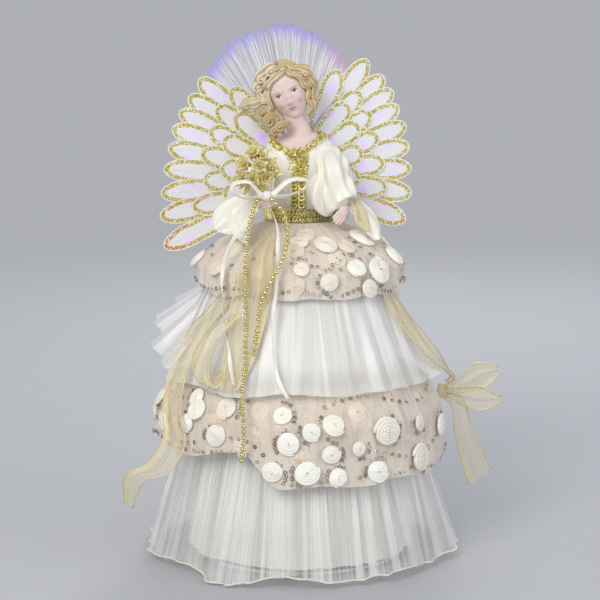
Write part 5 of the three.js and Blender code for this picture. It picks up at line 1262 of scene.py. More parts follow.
puffed_sleeve("left_sleeve_satin", "left_sleeve",
              [(-0.43, -0.07, 0.9, 0.13), (-0.55, -0.2, 0.76, 0.18), (-0.62, -0.4, 0.58, 0.17),
               (-0.58, -0.53, 0.45, 0.14), (-0.57, -0.55, 0.42, 0.06)], 4)
puffed_sleeve("right_sleeve_satin", "right_sleeve",
              [(0.36, -0.07, 0.93, 0.15), (0.36, -0.22, 0.8, 0.21), (0.38, -0.36, 0.56, 0.27),
               (0.42, -0.43, 0.32, 0.27), (0.46, -0.46, 0.24, 0.13)], 8)

# %% Hanging cuffs
drapes = {
    "left_cuff_lobe": [(-0.62, -0.5, 0.42, 0.08), (-0.85, -0.5, 0.27, 0.2), (-1.08, -0.5, 0.11, 0.19),
                       (-1.2, -0.5, 0.02, 0.05)],
    "left_cuff_drape": [(-0.64, -0.5, 0.38, 0.1), (-0.88, -0.6, 0.2, 0.16), (-0.88, -0.72, 0.03, 0.12),
                        (-0.84, -0.83, -0.13, 0.02)],
    "right_cuff_drape": [(0.6, -0.46, 0.34, 0.12), (0.74, -0.56, 0.18, 0.17), (0.83, -0.66, 0, 0.16),
                         (0.88, -0.74, -0.14, 0.05)],
    "right_cuff_veil": [(0.62, -0.5, 0.37, 0.08), (0.68, -0.62, 0.24, 0.115), (0.69, -0.7, 0.1, 0.115),
                        (0.74, -0.76, -0.02, 0.03)]}
for number, (part, rows) in enumerate(drapes.items()):
    is_veil = "veil" in part
    arm = "right" if "right" in part else "left"
    centres = on_body(rows)
    outward = np.tile([0.5 if arm == "right" else -0.5, -0.8, 0.3], (len(rows), 1))
    across = np.cross(np.gradient(centres, axis=0), outward)
    width = 2.2 * bodice_height * np.array(rows)[:, 3]
    path = smooth_path(np.hstack([centres, across, outward, width[:, None]]), 10)
    side, out = unit(path[:, 3:6]), unit(path[:, 6:9])
    t = np.linspace(0, 1, len(path))
    grid = []
    for s in np.linspace(-1, 1, 21):
        fold = 2.0 * np.sin(s * 5 + 2 * t + number) * (1 - 0.4 * t)
        grid.append(path[:, :3] + side * (s * path[:, 9] / 2)[:, None] + out * fold[:, None])
    grid = np.array(grid).transpose(1, 0, 2)
    drape = grid_piece(f"{part}_cloth" if is_veil else f"{part}_satin", grid, (0.026, 0.04))
    pick(drape)
    apply_modifier(drape, "SOLIDIFY", thickness=0.4 * mm)
    slot, cloth = ("gold_organza", gold_organza) if is_veil else ("ivory_satin", ivory_satin)
    dress(drape, [cloth], [f"{arm}_cuff_drape"])
    size = (float(width.max() * mm * 1.1), float(steps_along(path[:, :3]).sum() * mm))
    print(part, "flat", [round(value, 3) for value in size])

# %% [markdown]
# ## Belt, placket and collar of gold sequins
# Cupped gold sequins are threaded side by side like a roll of coins and sewn in rows. The belt has two
# such rolls, the placket has two upright ones, and the collar is a thick ring of loose ones.

# %% Gold sequin rows
coin_model = sequin_ring(2.5, 0.75, 0.8, 0.2)
belt_places = []
for height, radius in ((260.4, 26.0), (265.6, 25.9)):
    count = int(2 * math.pi * radius / sequin_spacing)
    for i in range(count):
        turn = 2 * math.pi * i / count
        point = (radius * math.sin(turn), -radius * math.cos(turn), height)
        outward = np.array([math.sin(turn), -math.cos(turn), 0.3 * math.sin(i * 2.4)])
        tangent = np.array([math.cos(turn), math.sin(turn), 0])
        belt_places.append(placed(point, 0.75 * tangent + outward, (0, 0, 1), 1.08))
belt = copies("sequin_belt_rolls", coin_model, belt_places)
dress(belt, [gold_sequin], ["sequin_belt"])


def front_of_body(rise, side):
    width, depth = body_radii(rise, 3.2)
    return np.array([side, body_middle - depth * math.sqrt(1 - (side / width) ** 2), waist_height + rise])


placket_places = []
tilt = np.random.RandomState(12)
for side in (-7.6, -1.8):
    for rise in np.arange(16.5, 39, 2.9):
        lean = (0.25 * math.sin(rise * 3), -1, 0.35)
        placket_places.append(placed(front_of_body(rise, side), lean, (1, 0, 0), 1.2))
for i in range(110):
    rise = 37 + 20 * tilt.rand()
    side = -4.6 + (tilt.rand() - 0.5) * (10 + 6 * (rise - 37) / 20)
    lean = (tilt.normal(0, 0.6), -1, tilt.normal(0, 0.6))
    placket_places.append(placed(front_of_body(rise, side), lean, (1, 0, 0), 0.8))
placket = copies("sequin_placket_rolls", coin_model, placket_places)
dress(placket, [gold_sequin], ["sequin_placket"])

collar_places = []
wide, deep, tall = shoulder_radii
for i in range(230):
    place = tilt.randint(len(angle))
    share = collar_share[place] + 0.07 * (tilt.rand() - 0.3)
    x, y = wide * share * math.sin(angle[place]), -deep * share * math.cos(angle[place])
    rise = tall * math.sqrt(max(0, 1 - share ** 2))
    out = Vector((x / wide ** 2, y / deep ** 2, rise / tall ** 2)).normalized()
    lean = out + Vector(tilt.normal(0, 0.45, 3))
    point = Vector((x, y + body_middle, shoulder_height + rise)) + out * (1.6 + 1.0 * tilt.rand())
    collar_places.append(placed(point, lean, (0, 0, 1), 0.72))
collar = copies("sequin_collar_ring", coin_model, collar_places)
dress(collar, [gold_sequin], ["sequin_collar"])
bpy.data.objects.remove(coin_model)
bpy.data.objects.remove(ring_model)
print("gold sequins:", len(belt_places) + len(placket_places) + len(collar_places))

# %% [markdown]
# ## Head
# The head, neck and shoulder plate are one resin casting, painted by hand. The head starts as an even
# sphere that is drawn out to an egg, and then soft pushes and pulls raise the nose, brow, cheeks, lips
# and chin. The face paint is a set of soft spots in the head's own frame, as a brush would set them.

# %% The head's own frame
head_place = Vector((-12.0, -5.0, 356.2))
head_turn = (Matrix.Rotation(math.radians(-23), 4, "Y") @ Matrix.Rotation(math.radians(-9), 4, "Z")
             @ Matrix.Rotation(math.radians(6), 4, "X"))
head_frame = Matrix.Translation(head_place * mm) @ head_turn @ Matrix.Diagonal((mm, mm, mm, 1))
face_pushes = [
    # x, z, depth, width, height: nose bridge, tip and wings, eye sockets, eyeballs, brows, cheeks
    (0, -2.5, 1.3, 1.3, 3.2), (0, -7.0, 2.9, 1.25, 1.7),
    (1.5, -8.0, 1.2, 0.9, 0.8), (-1.5, -8.0, 1.2, 0.9, 0.8),
    (5.4, 0.4, -1.5, 2.7, 1.8), (-5.4, 0.4, -1.5, 2.7, 1.8),
    (5.6, 0.0, 0.8, 1.7, 0.9), (-5.6, 0.0, 0.8, 1.7, 0.9),
    (5.4, 3.6, 0.5, 3.0, 0.9), (-5.4, 3.6, 0.5, 3.0, 0.9),
    (6.6, -6.4, 0.8, 2.6, 2.6), (-6.6, -6.4, 0.8, 2.6, 2.6),
    # lips above and below, the line between them, the hollow under them, chin
    (0, -11.7, 0.9, 2.6, 0.6), (0, -13.3, 1.0, 2.2, 0.75),
    (0, -12.5, -0.6, 3.1, 0.28), (0, -15.4, -0.5, 2.6, 0.9), (0, -20.5, 1.8, 3.4, 3.0)]


def head_surface(direction):
    """A point of the face and skull in the head's frame, in mm, for a direction from its middle."""
    x, y, z = direction
    height = 19.5 * z if z > 0 else 24.6 * z
    wide = 15.0 * (1 + 0.08 * z)
    deep = 15.2 * (1 + 0.06 * z) if y < 0 else 16.5 * (1 + 0.2 * z)
    point = [x * wide, y * deep, height]
    if y < 0:
        front = min(1, -y * 1.6)
        for px, pz, push, width, tall in face_pushes:
            near = math.exp(-((point[0] / 1.15 - px) / width) ** 2 - ((height / 0.95 - pz) / tall) ** 2)
            point[1] -= push * near * front
    return point


bpy.ops.mesh.primitive_ico_sphere_add(subdivisions=6, radius=1)
head = bpy.context.object
for vertex in head.data.vertices:
    vertex.co = head_frame @ Vector(head_surface(vertex.co.normalized()))
head.data.shade_smooth()

# %% Neck and shoulder plate
bpy.ops.mesh.primitive_uv_sphere_add(segments=96, ring_count=64, radius=1)
plate = bpy.context.object
for vertex in plate.data.vertices:
    x, y, z = vertex.co
    vertex.co = Vector((wide * x, body_middle + deep * y, shoulder_height + tall * max(z, -0.25))) * mm
plate.data.shade_smooth()
neck_path = smooth_path([(0, -1.5, 316), (-1.5, -1.8, 326), (-5.5, -3.0, 335), (-9.5, -4.2, 346)], 8)
neck_width = np.interp(np.linspace(0, 1, len(neck_path)), (0, 0.2, 0.45, 1), (13.5, 10, 8.4, 8.6))
neck_depth = neck_width * np.interp(neck_width, (9, 13), (0.95, 0.82))
neck = tube_piece("neck", neck_path, neck_width, neck_depth, 64)
print("neck width in mm from shoulders to chin:", [round(2 * neck_width[i], 1) for i in (0, -1)])

# %% Resin, painted skin
# Matt flesh paint over cast resin, with a little depth of colour and no gloss.
face_front = -14.5  # the face lies about this far in front of the head's middle, in mm
painted_skin, shader, add_to_skin = start_material("painted_resin_skin", {
    "Roughness": 0.5, "Subsurface Weight": 0.08, "Subsurface Radius": (0.002, 0.001, 0.0006),
    "Specular IOR Level": 0.35})
skin_place = add_to_skin("TexCoord")
in_head = add_to_skin("Mapping", {
    "Vector": skin_place.outputs["Object"], "Location": head_place * mm,
    "Rotation": head_turn.to_euler("XYZ"),
    "Scale": (1.15 * mm, 1.15 * mm, 0.95 * mm)}, vector_type="TEXTURE")
skin_mottle = add_to_skin("TexNoise", {"Vector": in_head, "Scale": 0.35, "Detail": 3})
skin_base = add_to_skin("Mix", {0: skin_mottle, 6: paint("E3C9C2"), 7: paint("EBD6D0")})


def soft_ellipse(sign, centre, radii, soft, strength):
    spot = add_to_skin("Mapping", {
        "Vector": in_head, "Location": (centre[0] * sign, face_front, centre[1]),
        "Scale": (radii[0], 9, radii[1])}, vector_type="TEXTURE")
    reach = add_to_skin("VectorMath", {0: spot}, operation="LENGTH")
    return add_to_skin("MapRange", {
        "Value": reach, "From Min": 1.0, "From Max": 1.0 - soft, "To Min": 0.0,
        "To Max": strength}, interpolation_type="SMOOTHSTEP")


def dab(under, sign, colour, place, size, soft, strength, cut=None):
    """One brush spot in the head's frame: an ellipse, or the crescent that a cut ellipse leaves of it."""
    factor = soft_ellipse(sign, place, size, soft, strength)
    if cut:
        rest = add_to_skin("Math", {0: 1.0, 1: soft_ellipse(sign, *cut, soft, 1.0)}, operation="SUBTRACT")
        factor = add_to_skin("Math", {0: factor, 1: rest}, operation="MULTIPLY")
    return add_to_skin("Mix", {0: factor, 6: under, 7: paint(colour)})


# %% Face paint
# Each spot has a colour, a place, a size, a softness and a strength, and perhaps an ellipse cut from it.
paired_spots = [
    # cheek, darker tone over the eye socket, white of the eye, iris, pupil and glint
    ("DD7F88", (6.9, -9.6), (4.4, 3.8), 1.0, 0.7), ("B9968C", (5.8, 0.4), (3.3, 2.3), 0.9, 0.45),
    ("ECE8E8", (5.7, -0.1), (2.0, 0.98), 0.3, 0.95), ("333B52", (5.6, 0.0), (1.12, 1.12), 0.25, 1.0),
    ("121318", (5.6, 0.0), (0.66, 0.7), 0.3, 1.0), ("FFFFFF", (5.4, 0.4), (0.2, 0.2), 0.5, 0.9),
    # lash line, crease of the lid and brow
    ("3E2C26", (5.7, 0.2), (2.4, 1.45), 0.15, 1.0, ((5.7, -0.5), (2.3, 1.45))),
    ("8C6A58", (5.7, 0.5), (2.7, 2.0), 0.15, 0.6, ((5.7, 0.2), (2.8, 2.0))),
    ("A07F5C", (5.6, 1.7), (3.3, 2.6), 0.15, 0.75, ((5.6, 1.25), (3.5, 2.6))),
    # nostril, painted as shade under the nose, and half of the upper lip
    ("B06A60", (0.95, -8.9), (0.5, 0.28), 0.5, 0.8), ("D5868A", (1.4, -11.9), (2.2, 0.68), 0.3, 0.9)]
# lower lip and the line between the lips
middle_spots = [("DC959A", (0, -13.2), (3.0, 0.9), 0.3, 0.9), ("B2666B", (0, -12.45), (3.7, 0.24), 0.4, 0.9)]
layer_of_paint = skin_base
for sign, spots in ((-1, paired_spots), (1, paired_spots), (1, middle_spots)):
    for spot in spots:
        layer_of_paint = dab(layer_of_paint, sign, *spot)
feed(shader, {"Base Color": layer_of_paint})
print("paint nodes:", len(painted_skin.node_tree.nodes))

# %% [markdown]
# ## Moulded hair
# The hair is cast with the head and painted gold, and its grooves are painted a darker brown as shade. A cap
# with wavy grooves covers the skull and leaves the face free. Ridged locks are laid over it from the
# parting down both sides, and coiled ones hang at the left.

# %% Resin, painted hair
# Pale gold on the ridges and a darker brown in the grooves as painted shade; the ridge height is kept as an
# attribute.
painted_hair, shader, add = start_material("painted_resin_hair", {
    "Roughness": 0.48, "Specular IOR Level": 0.4})
hair_ridge = add("Attribute", attribute_name="ridge")
hair_warm = add("Attribute", attribute_name="warm")
hair_place = add("TexCoord")
hair_patch = add("TexNoise", {"Vector": hair_place.outputs["Object"], "Scale": 1 / 0.005, "Detail": 3})
hair_cool = add("Mix", {0: hair_patch, 6: paint("F6ECCA"), 7: paint("FEF8E2")})
hair_gold = add("Mix", {0: hair_warm.outputs["Fac"], 6: hair_cool, 7: paint("FADDAC")})
# Moulded strands lie half a millimetre apart; the attribute strand counts millimetres across them.
hair_strand = add("Attribute", attribute_name="strand")
strand_lines = add("TexNoise", {
    "W": hair_strand.outputs["Fac"], "Scale": 2.2, "Detail": 2}, noise_dimensions="1D")
strand_depth = add("MapRange", {
    "Value": strand_lines, "From Min": 0.35, "From Max": 0.55, "To Min": 0.25, "To Max": 1.0})
# The gold share is the ridge height times the strand lines, so grooves and the gaps between strands get the
# brown of painted shade.
lit_ridge_share = add("Math", {0: hair_ridge.outputs["Fac"], 1: strand_depth}, operation="MULTIPLY")
hair_tone = add("Mix", {0: lit_ridge_share, 6: paint("AC8F5C"), 7: hair_gold})
strand_bump = add("Bump", {"Height": strand_lines, "Strength": 0.7, "Distance": 0.0008})
feed(shader, {"Base Color": hair_tone, "Normal": strand_bump})
print("paint layers on the hair:", sum(node.type == "MIX" for node in painted_hair.node_tree.nodes))

# %% Hair cap
bpy.ops.mesh.primitive_ico_sphere_add(subdivisions=6, radius=1)
hair_cap = bpy.context.object
cap_values = {"ridge": [], "warm": [], "strand": []}
for vertex in hair_cap.data.vertices:
    x, y, z = vertex.co.normalized()
    point = np.array([0.4 + 17.0 * x, 3.6 + 17.5 * y, 5.0 + 17.6 * z])
    wave = point[1] + 1.3 * math.sin(point[2] * 0.55 + 0.8) + 0.5 * math.sin(point[2] * 1.3)
    groove = math.cos(2 * math.pi * wave / 3.1) + 0.45 * math.cos(2 * math.pi * wave / 1.25 + 1)
    parting = math.exp(-((point[0] - 1.2) / 1.3) ** 2) * (1 if z > 0 else 0)
    point += np.array([x, y, z]) * (0.42 * groove - 1.6 * parting)
    window = math.hypot((point[0] - 0.3) / 13.4, (point[2] + 6.0) / 18.6)
    if y < 0 and window < 1:
        point[1] += 9 * min(1, (1 - window) * 5)
    vertex.co = head_frame @ Vector(point)
    cap_values["ridge"].append(min(1, max(0, 0.5 + 0.42 * groove - 0.9 * parting)))
    cap_values["warm"].append(min(1, max(0, x * 1.4)))
    cap_values["strand"].append(wave)
hair_cap.data.shade_smooth()
for label, values in cap_values.items():
    keep(hair_cap, label, values)
print("points in the hair cap:", len(hair_cap.data.vertices))


# %% Locks and coils
def view_point(across, down, depth):
    """A place in mm for a point of the 600 by 600 view, at a depth y in mm."""
    reach = sensor_width / picture_width / lens_length
    middle = picture_width / 2
    ray = camera.matrix_basis.to_3x3() @ Vector(((across - middle) * reach, (middle - down) * reach, -1))
    travel = (depth * mm - camera_place.y) / ray.y
    return np.array((camera_place + ray * travel) / mm)


def keep_hair(piece, path, sides, ridges, twist, thick, warm, gold):
    """Ridge height times gold, which is below one for locks painted in shade under the head, with warmth and
    strand count for a tube of hair.
    """
    turn = np.linspace(0, 2 * np.pi, sides, endpoint=False)
    spin = twist * np.arange(len(path)) / len(path) * 2 * np.pi
    height = 0.72 + 0.42 * np.cos(ridges * turn[::-1] + spin[:, None])
    keep(piece, "ridge", gold * np.clip(height.ravel(), 0, 1))
    keep(piece, "warm", np.full(len(path) * sides, warm))
    keep(piece, "strand", np.tile(np.abs(turn - np.pi)[::-1] * thick, len(path)))


def lock(route, radii, ridges=5, share=0.1, twist=1.2, warm=0.0, gold=1.0):
    path = smooth_path([view_point(*spot) for spot in route], 8)
    t = np.linspace(0, 1, len(path))
    radius = np.interp(t, np.linspace(0, 1, len(radii)), radii)
    path += np.outer(np.sin(t * len(route) * 2.7 + radii[1]), [0.9, 0.4, 0.5])
    radius = radius * (1 + 0.16 * np.sin(t * len(route) * 4.3 + 2 * radii[2]))
    sides = 30
    piece = tube_piece("lock", path, radius, radius * 0.8, sides, ridges=ridges, ridge_share=share,
                       twist=twist)
    keep_hair(piece, path, sides, ridges, twist, max(radii), warm, gold)
    return piece


def coil(across, down, depth, radius, turns, thick, warm=0.0, gold=1.0):
    centre = view_point(across, down, depth)
    t = np.linspace(0, 1, int(22 * turns))
    spin = t * turns * 2 * np.pi
    reach = radius * (1 - 0.85 * t)
    path = centre + np.column_stack([reach * np.cos(spin), -1.1 * t * thick - 0.4 * np.sin(spin),
                                     reach * np.sin(spin)])
    width = thick * (1.25 - 0.35 * t)
    sides = 18
    piece = tube_piece("coil", path, width, width, sides, ridges=3, ridge_share=0.12, twist=0.8)
    keep_hair(piece, path, sides, 3, 0.8, thick, warm, gold)
    return piece


locks = [
    lock([(287, 70, -17), (292, 73.5, -19), (299, 77, -18), (304.5, 83, -15), (307.5, 91, -12),
          (308.5, 99, -10), (311, 107, -9), (308.5, 115, -8)],
         (1.2, 2.4, 2.6, 2.7, 2.2, 2.6, 2.0, 0.8), warm=0.7),
    lock([(288, 66.5, -12), (297, 69, -14), (306, 75, -13), (312, 83, -10), (311.5, 92, -8), (314, 101, -7),
          (311, 110, -6), (312, 118, -5)], (1.4, 3.0, 3.2, 3.0, 2.6, 2.8, 2.2, 0.9), warm=0.8),
    lock([(288, 65.5, -4), (299, 67, -6), (309, 73, -5), (314.5, 82, -3), (313, 92, -2), (315, 101, -1),
          (311, 111, -1)], (1.4, 3.2, 3.3, 3.2, 2.8, 2.4, 1.0), warm=0.7),
    lock([(285, 71, -17), (279, 74.5, -19), (272.5, 79.5, -18), (267.5, 86, -15.5), (266, 94, -13),
          (266, 102, -11), (271, 110, -8)], (1.2, 2.8, 3.0, 2.9, 2.6, 2.4, 1.2)),
    lock([(283, 67, -12), (275, 69.5, -14), (266.5, 75, -13), (262, 82, -11), (262.5, 90, -10),
          (266, 97, -9)], (1.4, 3.2, 3.6, 3.5, 3.1, 1.6)),
    lock([(282, 65.5, -4), (272, 67, -6), (263, 72, -6), (258, 80, -5), (257, 88, -4), (260, 96, -4)],
         (1.4, 3.3, 3.7, 3.5, 3.2, 1.6)),
    lock([(263, 88, -14), (258, 92, -13), (259, 98, -12), (265, 102, -12), (268, 108, -11)],
         (1.0, 2.6, 2.8, 2.6, 1.6)),
    lock([(270, 100, -9), (262, 101, -12), (254, 102.5, -12), (246, 105, -11), (240, 107, -10)],
         (2.0, 4.2, 5.0, 4.6, 1.2), ridges=9, share=0.12, twist=0.2),
    lock([(270, 104, -8), (262, 106, -10), (254, 108, -10), (247, 110, -9), (243, 111, -9)],
         (2.0, 3.8, 4.4, 3.4, 1.0), ridges=8, share=0.12, twist=0.2),
    # The locks and coils low at the neck get less gold and so more groove brown: painted shade under the
    # head.
    lock([(268, 96, -14), (270, 104, -14), (268, 111, -13), (272, 118, -13), (270, 125, -13)],
         (1.4, 2.6, 2.8, 2.7, 1.4), gold=0.8),
    lock([(274, 108, -10), (278, 116, -13), (275, 123, -14), (279, 130, -15), (284, 134, -16)],
         (1.4, 2.4, 2.5, 2.3, 1.0), warm=0.4, gold=0.5),
    coil(263, 114, -11, 4.6, 1.5, 2.5, 0.4, 0.55), coil(269.5, 121, -13, 4.4, 1.6, 2.4, 0.5, 0.45),
    coil(280, 127.5, -17, 3.2, 1.5, 1.9, 0.5, 0.5), coil(275, 131.5, -15, 2.9, 1.5, 1.7, 0.5, 0.45),
    coil(286, 124.5, -16, 2.4, 1.4, 1.4, 0.5, 0.6), coil(257, 88.5, -10, 3.0, 1.4, 2.0),
    coil(261, 80, -12, 2.6, 1.4, 1.8), coil(270, 73, -16, 2.6, 1.4, 1.7),
    coil(304, 76, -15, 2.4, 1.4, 1.7, 0.8)]
for piece in (head, plate, neck):
    keep(piece, "ridge", np.zeros(len(piece.data.vertices)))
    keep(piece, "warm", np.zeros(len(piece.data.vertices)))
casting = join_pieces("head_and_shoulders", [head, plate, neck])
dress(casting, [painted_skin], ["head_bust"])
hair = join_pieces("moulded_hair", [hair_cap, *locks])
dress(hair, [painted_hair])
print("faces in head and hair:", len(casting.data.polygons), len(hair.data.polygons))

# %% [markdown]
# ## Forearms and hands
# The forearms and hands are resin too. A hand is a palm with four fingers and a thumb. Each is a round
# tube with closed ends, and a remesh at a third of a millimetre welds them into one skin.

# %% Hands
def hand(name, node, elbow, wrist, palm, reach, spread, curl):
    """reach is the direction of the fingers, spread the direction in which they lie side by side."""
    elbow, wrist, palm = np.array(elbow), np.array(wrist), np.array(palm)
    size = 1.25
    reach, spread = unit(np.array(reach, float)), unit(np.array(spread, float))
    inward = np.cross(reach, spread) * curl
    t = np.linspace(0, 1, 13)
    arm_width = np.interp(t, (0, 0.5, 0.8, 1), (3.5, 2.6, 3.0, 2.2))
    arm_depth = np.interp(t, (0, 0.5, 1), (3.4, 2.3, 1.7))
    parts = [tube_piece("arm", smooth_path([elbow, wrist, palm], 6), arm_width, arm_depth, 24)]
    palm_path = smooth_path([palm - reach * 2.6, palm, palm + reach * 4.2], 5)
    palm_width = size * np.array([2.0, 2.7, 3.2, 3.5, 3.6, 3.6, 3.6, 3.5, 3.4, 3.2, 2.4])
    palm_depth = size * np.array([1.5, 1.7, 1.9, 1.9, 1.9, 1.8, 1.7, 1.6, 1.5, 1.4, 1.1])
    parts.append(tube_piece("palm", palm_path, palm_width, palm_depth, 24,
                            away=lambda point: np.cross(spread, reach)))
    fingers = []
    for i, length in enumerate((6.2, 7.4, 7.0, 5.6)):
        start = palm + size * (reach * 2.4 + spread * (i - 1.5) * 1.85)
        bends = ((0.4, 0.3), (0.75, 1.1), (0.95, 2.0))
        bent = [start + size * (reach * length * far + inward * fold) for far, fold in bends]
        fingers.append([start, *bent])
    start = palm - size * spread * 2.6
    fingers.append([start, start + size * (reach * 1.6 - spread * 1.4 + inward * 0.8),
                    start + size * (reach * 4 - spread * 1.2 + inward * 1.6)])
    for route in fingers:
        finger_path = smooth_path(route, 5)
        thick = size * np.interp(np.linspace(0, 1, len(finger_path)), (0, 0.85, 1), (1.0, 0.9, 0.4))
        parts.append(tube_piece("finger", finger_path, thick, thick, 14))
    made = join_pieces(name, parts)
    apply_modifier(made, "REMESH", mode="VOXEL", voxel_size=0.33 * mm)
    apply_modifier(made, "SMOOTH", iterations=3, factor=0.5)
    made.data.shade_smooth()
    dress(made, [painted_skin], [node])
    print(name, "faces:", len(made.data.polygons))


hand("left_hand", "left_forearm_hand", (-35.4, -19.7, 290.2), (-31.5, -33, 279.5), (-28.8, -42.5, 276.8),
     (-0.62, -0.78, -0.1), (0, 0, -1), -1.6)
hand("right_hand", "right_forearm_hand", (28.4, -19.7, 288.5), (28.6, -30.5, 272.5), (27.6, -34.5, 267.0),
     (-0.62, -0.3, -0.72), (-0.74, -0.1, 0.62), 1)

# %% [markdown]
# ## Bouquet
# The left hand holds a bunch of gold glitter flowers and leaves on wired stems. A petal is a small
# grid, pinched at both ends and cupped. Six make a flower, and a longer one is a leaf.

# %% Petal and leaf of the bouquet
def glitter_leaf(length, width, cup):
    bpy.ops.mesh.primitive_grid_add(x_subdivisions=4, y_subdivisions=6, size=1)
    leaf = bpy.context.object
    for vertex in leaf.data.vertices:
        t = vertex.co.y + 0.5
        half = width / 2 * math.sin(math.pi * min(1, t * 0.9 + 0.08)) ** 0.8
        x = vertex.co.x * 2 * half
        lift = cup * (t ** 1.6) * length - 0.25 * cup * abs(x) + 0.5 * abs(x) * cup
        vertex.co = Vector((x, t * length, lift)) * mm
    apply_modifier(leaf, "SOLIDIFY", thickness=0.25 * mm)
    return leaf


def rosette_of(count, rings):
    places = []
    for lift, size, turn in rings:
        for i in range(count):
            spin = Matrix.Rotation(2 * math.pi * (i + turn) / count, 4, "Z")
            places.append(spin @ Matrix.Rotation(lift, 4, "X") @ Matrix.Diagonal((size, size, size, 1)))
    return places


flower_petal = glitter_leaf(6.5, 4.2, 0.35)
flower_rings = [(0.25, 1, 0), (0.75, 0.75, 0.5), (1.2, 0.5, 0)]
flower_model = copies("flower_model", flower_petal, rosette_of(6, flower_rings))
long_leaf = glitter_leaf(13, 4.6, 0.12)
top = np.array([-39.5, -46.0, 300.0])
blossoms = np.array([(0, -0.1, 0.2), (-0.62, 0, 0.3), (0.1, 0.1, 0.62), (0.6, 0, 0.0), (-0.3, -0.25, -0.35),
                     (0.3, -0.2, -0.3), (-0.7, 0.1, -0.3), (-0.25, 0.05, 0.75)])
flower_places, leaf_places = [], []
turns = np.random.RandomState(31)
for share in blossoms:
    point = top + 16 * share
    outward = share * 1.2 + np.array([0, -0.9, 0.15])
    flower_places.append(placed(point + np.array([0, -1.5, 0]), outward, turns.rand(3),
                                1.0 + 0.1 * turns.rand()))
for i in range(26):
    angle = 2 * math.pi * i / 26 + turns.normal(0, 0.1)
    direction = np.array([math.cos(angle), -0.25 + 0.3 * turns.rand(), math.sin(angle)])
    reach = (5 + 5 * turns.rand()) * (0.7 if direction[0] > 0.3 else 1)
    point = top + direction * reach + np.array([0, 2, 0])
    basis_y = Vector(direction).normalized()
    basis_z = Vector((0, -1, 0.1)).cross(basis_y).cross(basis_y).normalized() * -1
    basis_x = basis_y.cross(basis_z)
    turn = Matrix((basis_x, basis_y, basis_z)).transposed().to_4x4()
    size = 0.7 + 0.35 * turns.rand()
    leaf_places.append(Matrix.Translation(Vector(point) * mm) @ turn @ Matrix.Diagonal((size, size, size, 1)))
flowers = copies("bouquet_flowers", flower_model, flower_places)
leaves = copies("bouquet_leaves", long_leaf, leaf_places)
grip = np.array([-34.34, -45.22, 274.58])
foot = grip + unit(grip - top) * 11
stems = []
for i in range(9):
    angle = 2 * math.pi * i / 9
    ring = np.array([math.cos(angle), math.sin(angle), 0])
    route = [top + ring * 5, (top + grip) / 2 + ring * 2.4, grip + ring * 1.4, foot + ring * 3.2]
    stems.append(tube_piece("stem", smooth_path(route, 6), 0.75, 0.75, 8))
bouquet = join_pieces("glitter_bouquet", [flowers, leaves, *stems])
dress(bouquet, [painted_paler_glitter], ["bouquet"])
for model in (flower_petal, flower_model, long_leaf):
    bpy.data.objects.remove(model)
print("bouquet faces:", len(bouquet.data.polygons))

# %% [markdown]
# ## Satin bow
# Narrow satin ribbon is tied in a bow under the bouquet. Each loop is a flat band that leaves the knot,
# turns over and comes back to it, and the knot is a short band wrapped round the roots.

# %% Bow loops and knot
knot = np.array([-34.0, -52.4, 281.6])
loop_reach = 26
# Places on each loop are shares of its reach, measured from the knot.
loop_routes = {
    "left": [(0, 0.02, 0.03), (-0.17, 0, 0.04), (-0.5, -0.1, 0.4), (-0.92, 0, 0.36), (-1, 0, 0.12),
             (-0.62, 0, -0.06), (-0.17, -0.02, -0.03), (0, -0.02, -0.05)],
    "right": [(0, 0.02, 0.03), (0.17, 0, 0.04), (0.6, -0.1, 0.42), (1.1, 0, 0.44), (1.14, 0, 0.2),
              (0.62, 0, 0), (0.17, -0.02, -0.03), (0, -0.02, -0.05)]}
bow_parts = []
for side, route in loop_routes.items():
    points = knot + loop_reach * np.array(route)
    middle = points[2:6].mean(axis=0)
    band = tube_piece("loop", even_path(smooth_path(points, 10), 1.2), 2.1, 0.35, 12, (0.004, 0.09),
                      away=lambda point: unit(point - middle) + np.array([0, -0.55, 0]))
    bow_parts.append(band)
wrap_turn = np.linspace(0, 2 * np.pi, 25)[:-1]
wrap = knot + np.column_stack([0.3 * np.sin(wrap_turn), 2.6 * np.cos(wrap_turn), 2.9 * np.sin(wrap_turn)])
wrap = np.vstack([wrap, wrap[:1]])
wrap_grid = tube_grid(wrap, 2.4, 0.8, 12, lambda point: point - knot)
bow_parts.append(grid_piece("wrap", wrap_grid, (0.004, 0.02), True))
bow = join_pieces("satin_bow_tied", bow_parts)
dress(bow, [ivory_satin], ["satin_bow"])
print("bow faces:", len(bow.data.polygons))

# %% [markdown]
# ## Hard parts inside
# The cone, ring, battery case and light are plain mouldings and stampings that keep their CAD shape.
# Each gets the finish of its real material, since they show from below and behind.

# %% Plastics, steel, cell wrap and foam
# Polypropylene, injection moulded: milky white with a fine spark-eroded grain.
white_plastic = mottled("polypropylene_moulded", {"Roughness": 0.45}, 0.0008, "F1EFE8", "E7E5DC")

# ABS, injection moulded: near black with a satin grain.
black_plastic = mottled("abs_black_moulded", {"Roughness": 0.4}, 0.0007, "1A1A1C", "2B2B2E")

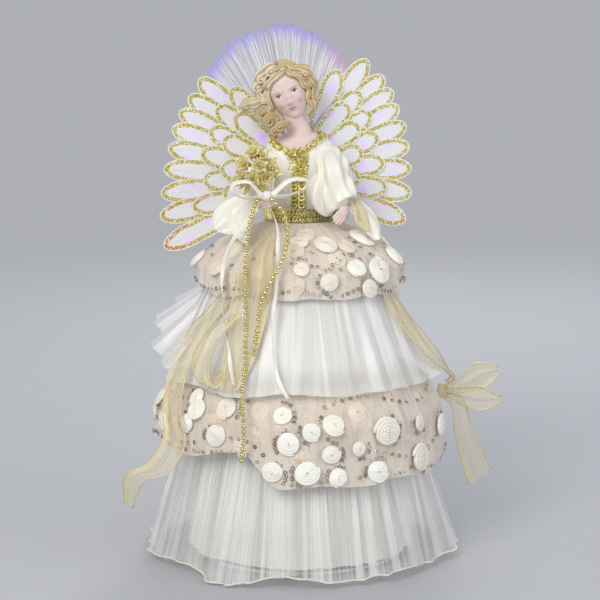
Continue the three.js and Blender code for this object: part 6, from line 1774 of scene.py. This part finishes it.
# Steel wire and strip, nickel plated: drawn lines along it.
plated_steel, shader, add = start_material("steel_nickel_plated", {"Metallic": 1.0, "Roughness": 0.3})
steel_place = add("TexCoord")
drawn = add("Mapping", {
    "Vector": steel_place.outputs["Object"], "Scale": (1 / 0.0005, 1 / 0.0005, 1 / 0.01)})
drawn_lines = add("TexNoise", {"Vector": drawn, "Scale": 1, "Detail": 2})
steel_tone = add("Mix", {0: drawn_lines, 6: paint("A9AAAC"), 7: paint("C9CACC")})
feed(shader, {"Base Color": steel_tone})

# Printed shrink film round the cells, left plain: a gloss grey with faint bands.
cell_film = mottled("cell_film_shrunk", {"Roughness": 0.25, "Coat Weight": 0.4}, 0.01, "44484E", "5C6168")

# Polystyrene foam, expanded in a mould: packed beads 2 mm wide.
bead_foam, shader, add = start_material("polystyrene_expanded", {"Roughness": 0.85, "Subsurface Weight": 0.1})
foam_place = add("TexCoord")
foam_beads = add("TexVoronoi", {"Vector": foam_place.outputs["Object"], "Scale": 1 / 0.002})
foam_tone = add("Mix", {0: foam_beads, 6: paint("F2F0EA"), 7: paint("D6D2C8")})
foam_bump = add("Bump", {"Height": foam_beads, "Strength": 0.4, "Distance": 0.0004})
feed(shader, {"Base Color": foam_tone, "Normal": foam_bump})

# %% Finish of the hard parts
finishes = {
    white_plastic: ["base_ring", "support_cone", "waist_plate", "battery_case", "battery_cover",
                    "led_carrier", "wing_back_plate"],
    black_plastic: ["switch_slider", "battery_lead", "led_module", "fibre_ferrule"],
    plated_steel: ["arm_wire", "contact_plate_lower", "contact_plate_upper", "case_screw_upper",
                   "case_screw_lower", "left_wing_wire", "right_wing_wire"],
    cell_film: ["battery_cell_1", "battery_cell_2", "battery_cell_3"],
    bead_foam: ["torso_core"],
    clear_fibre: ["led_lamp", "fibre_bundle"]}
for material, nodes in finishes.items():
    for node in nodes:
        hard_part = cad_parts[node]
        hard_part.data.materials.clear()
        hard_part.data.materials.append(material)
dress(fan_block, [black_plastic])
print("hard parts finished:", sum(len(nodes) for nodes in finishes.values()))
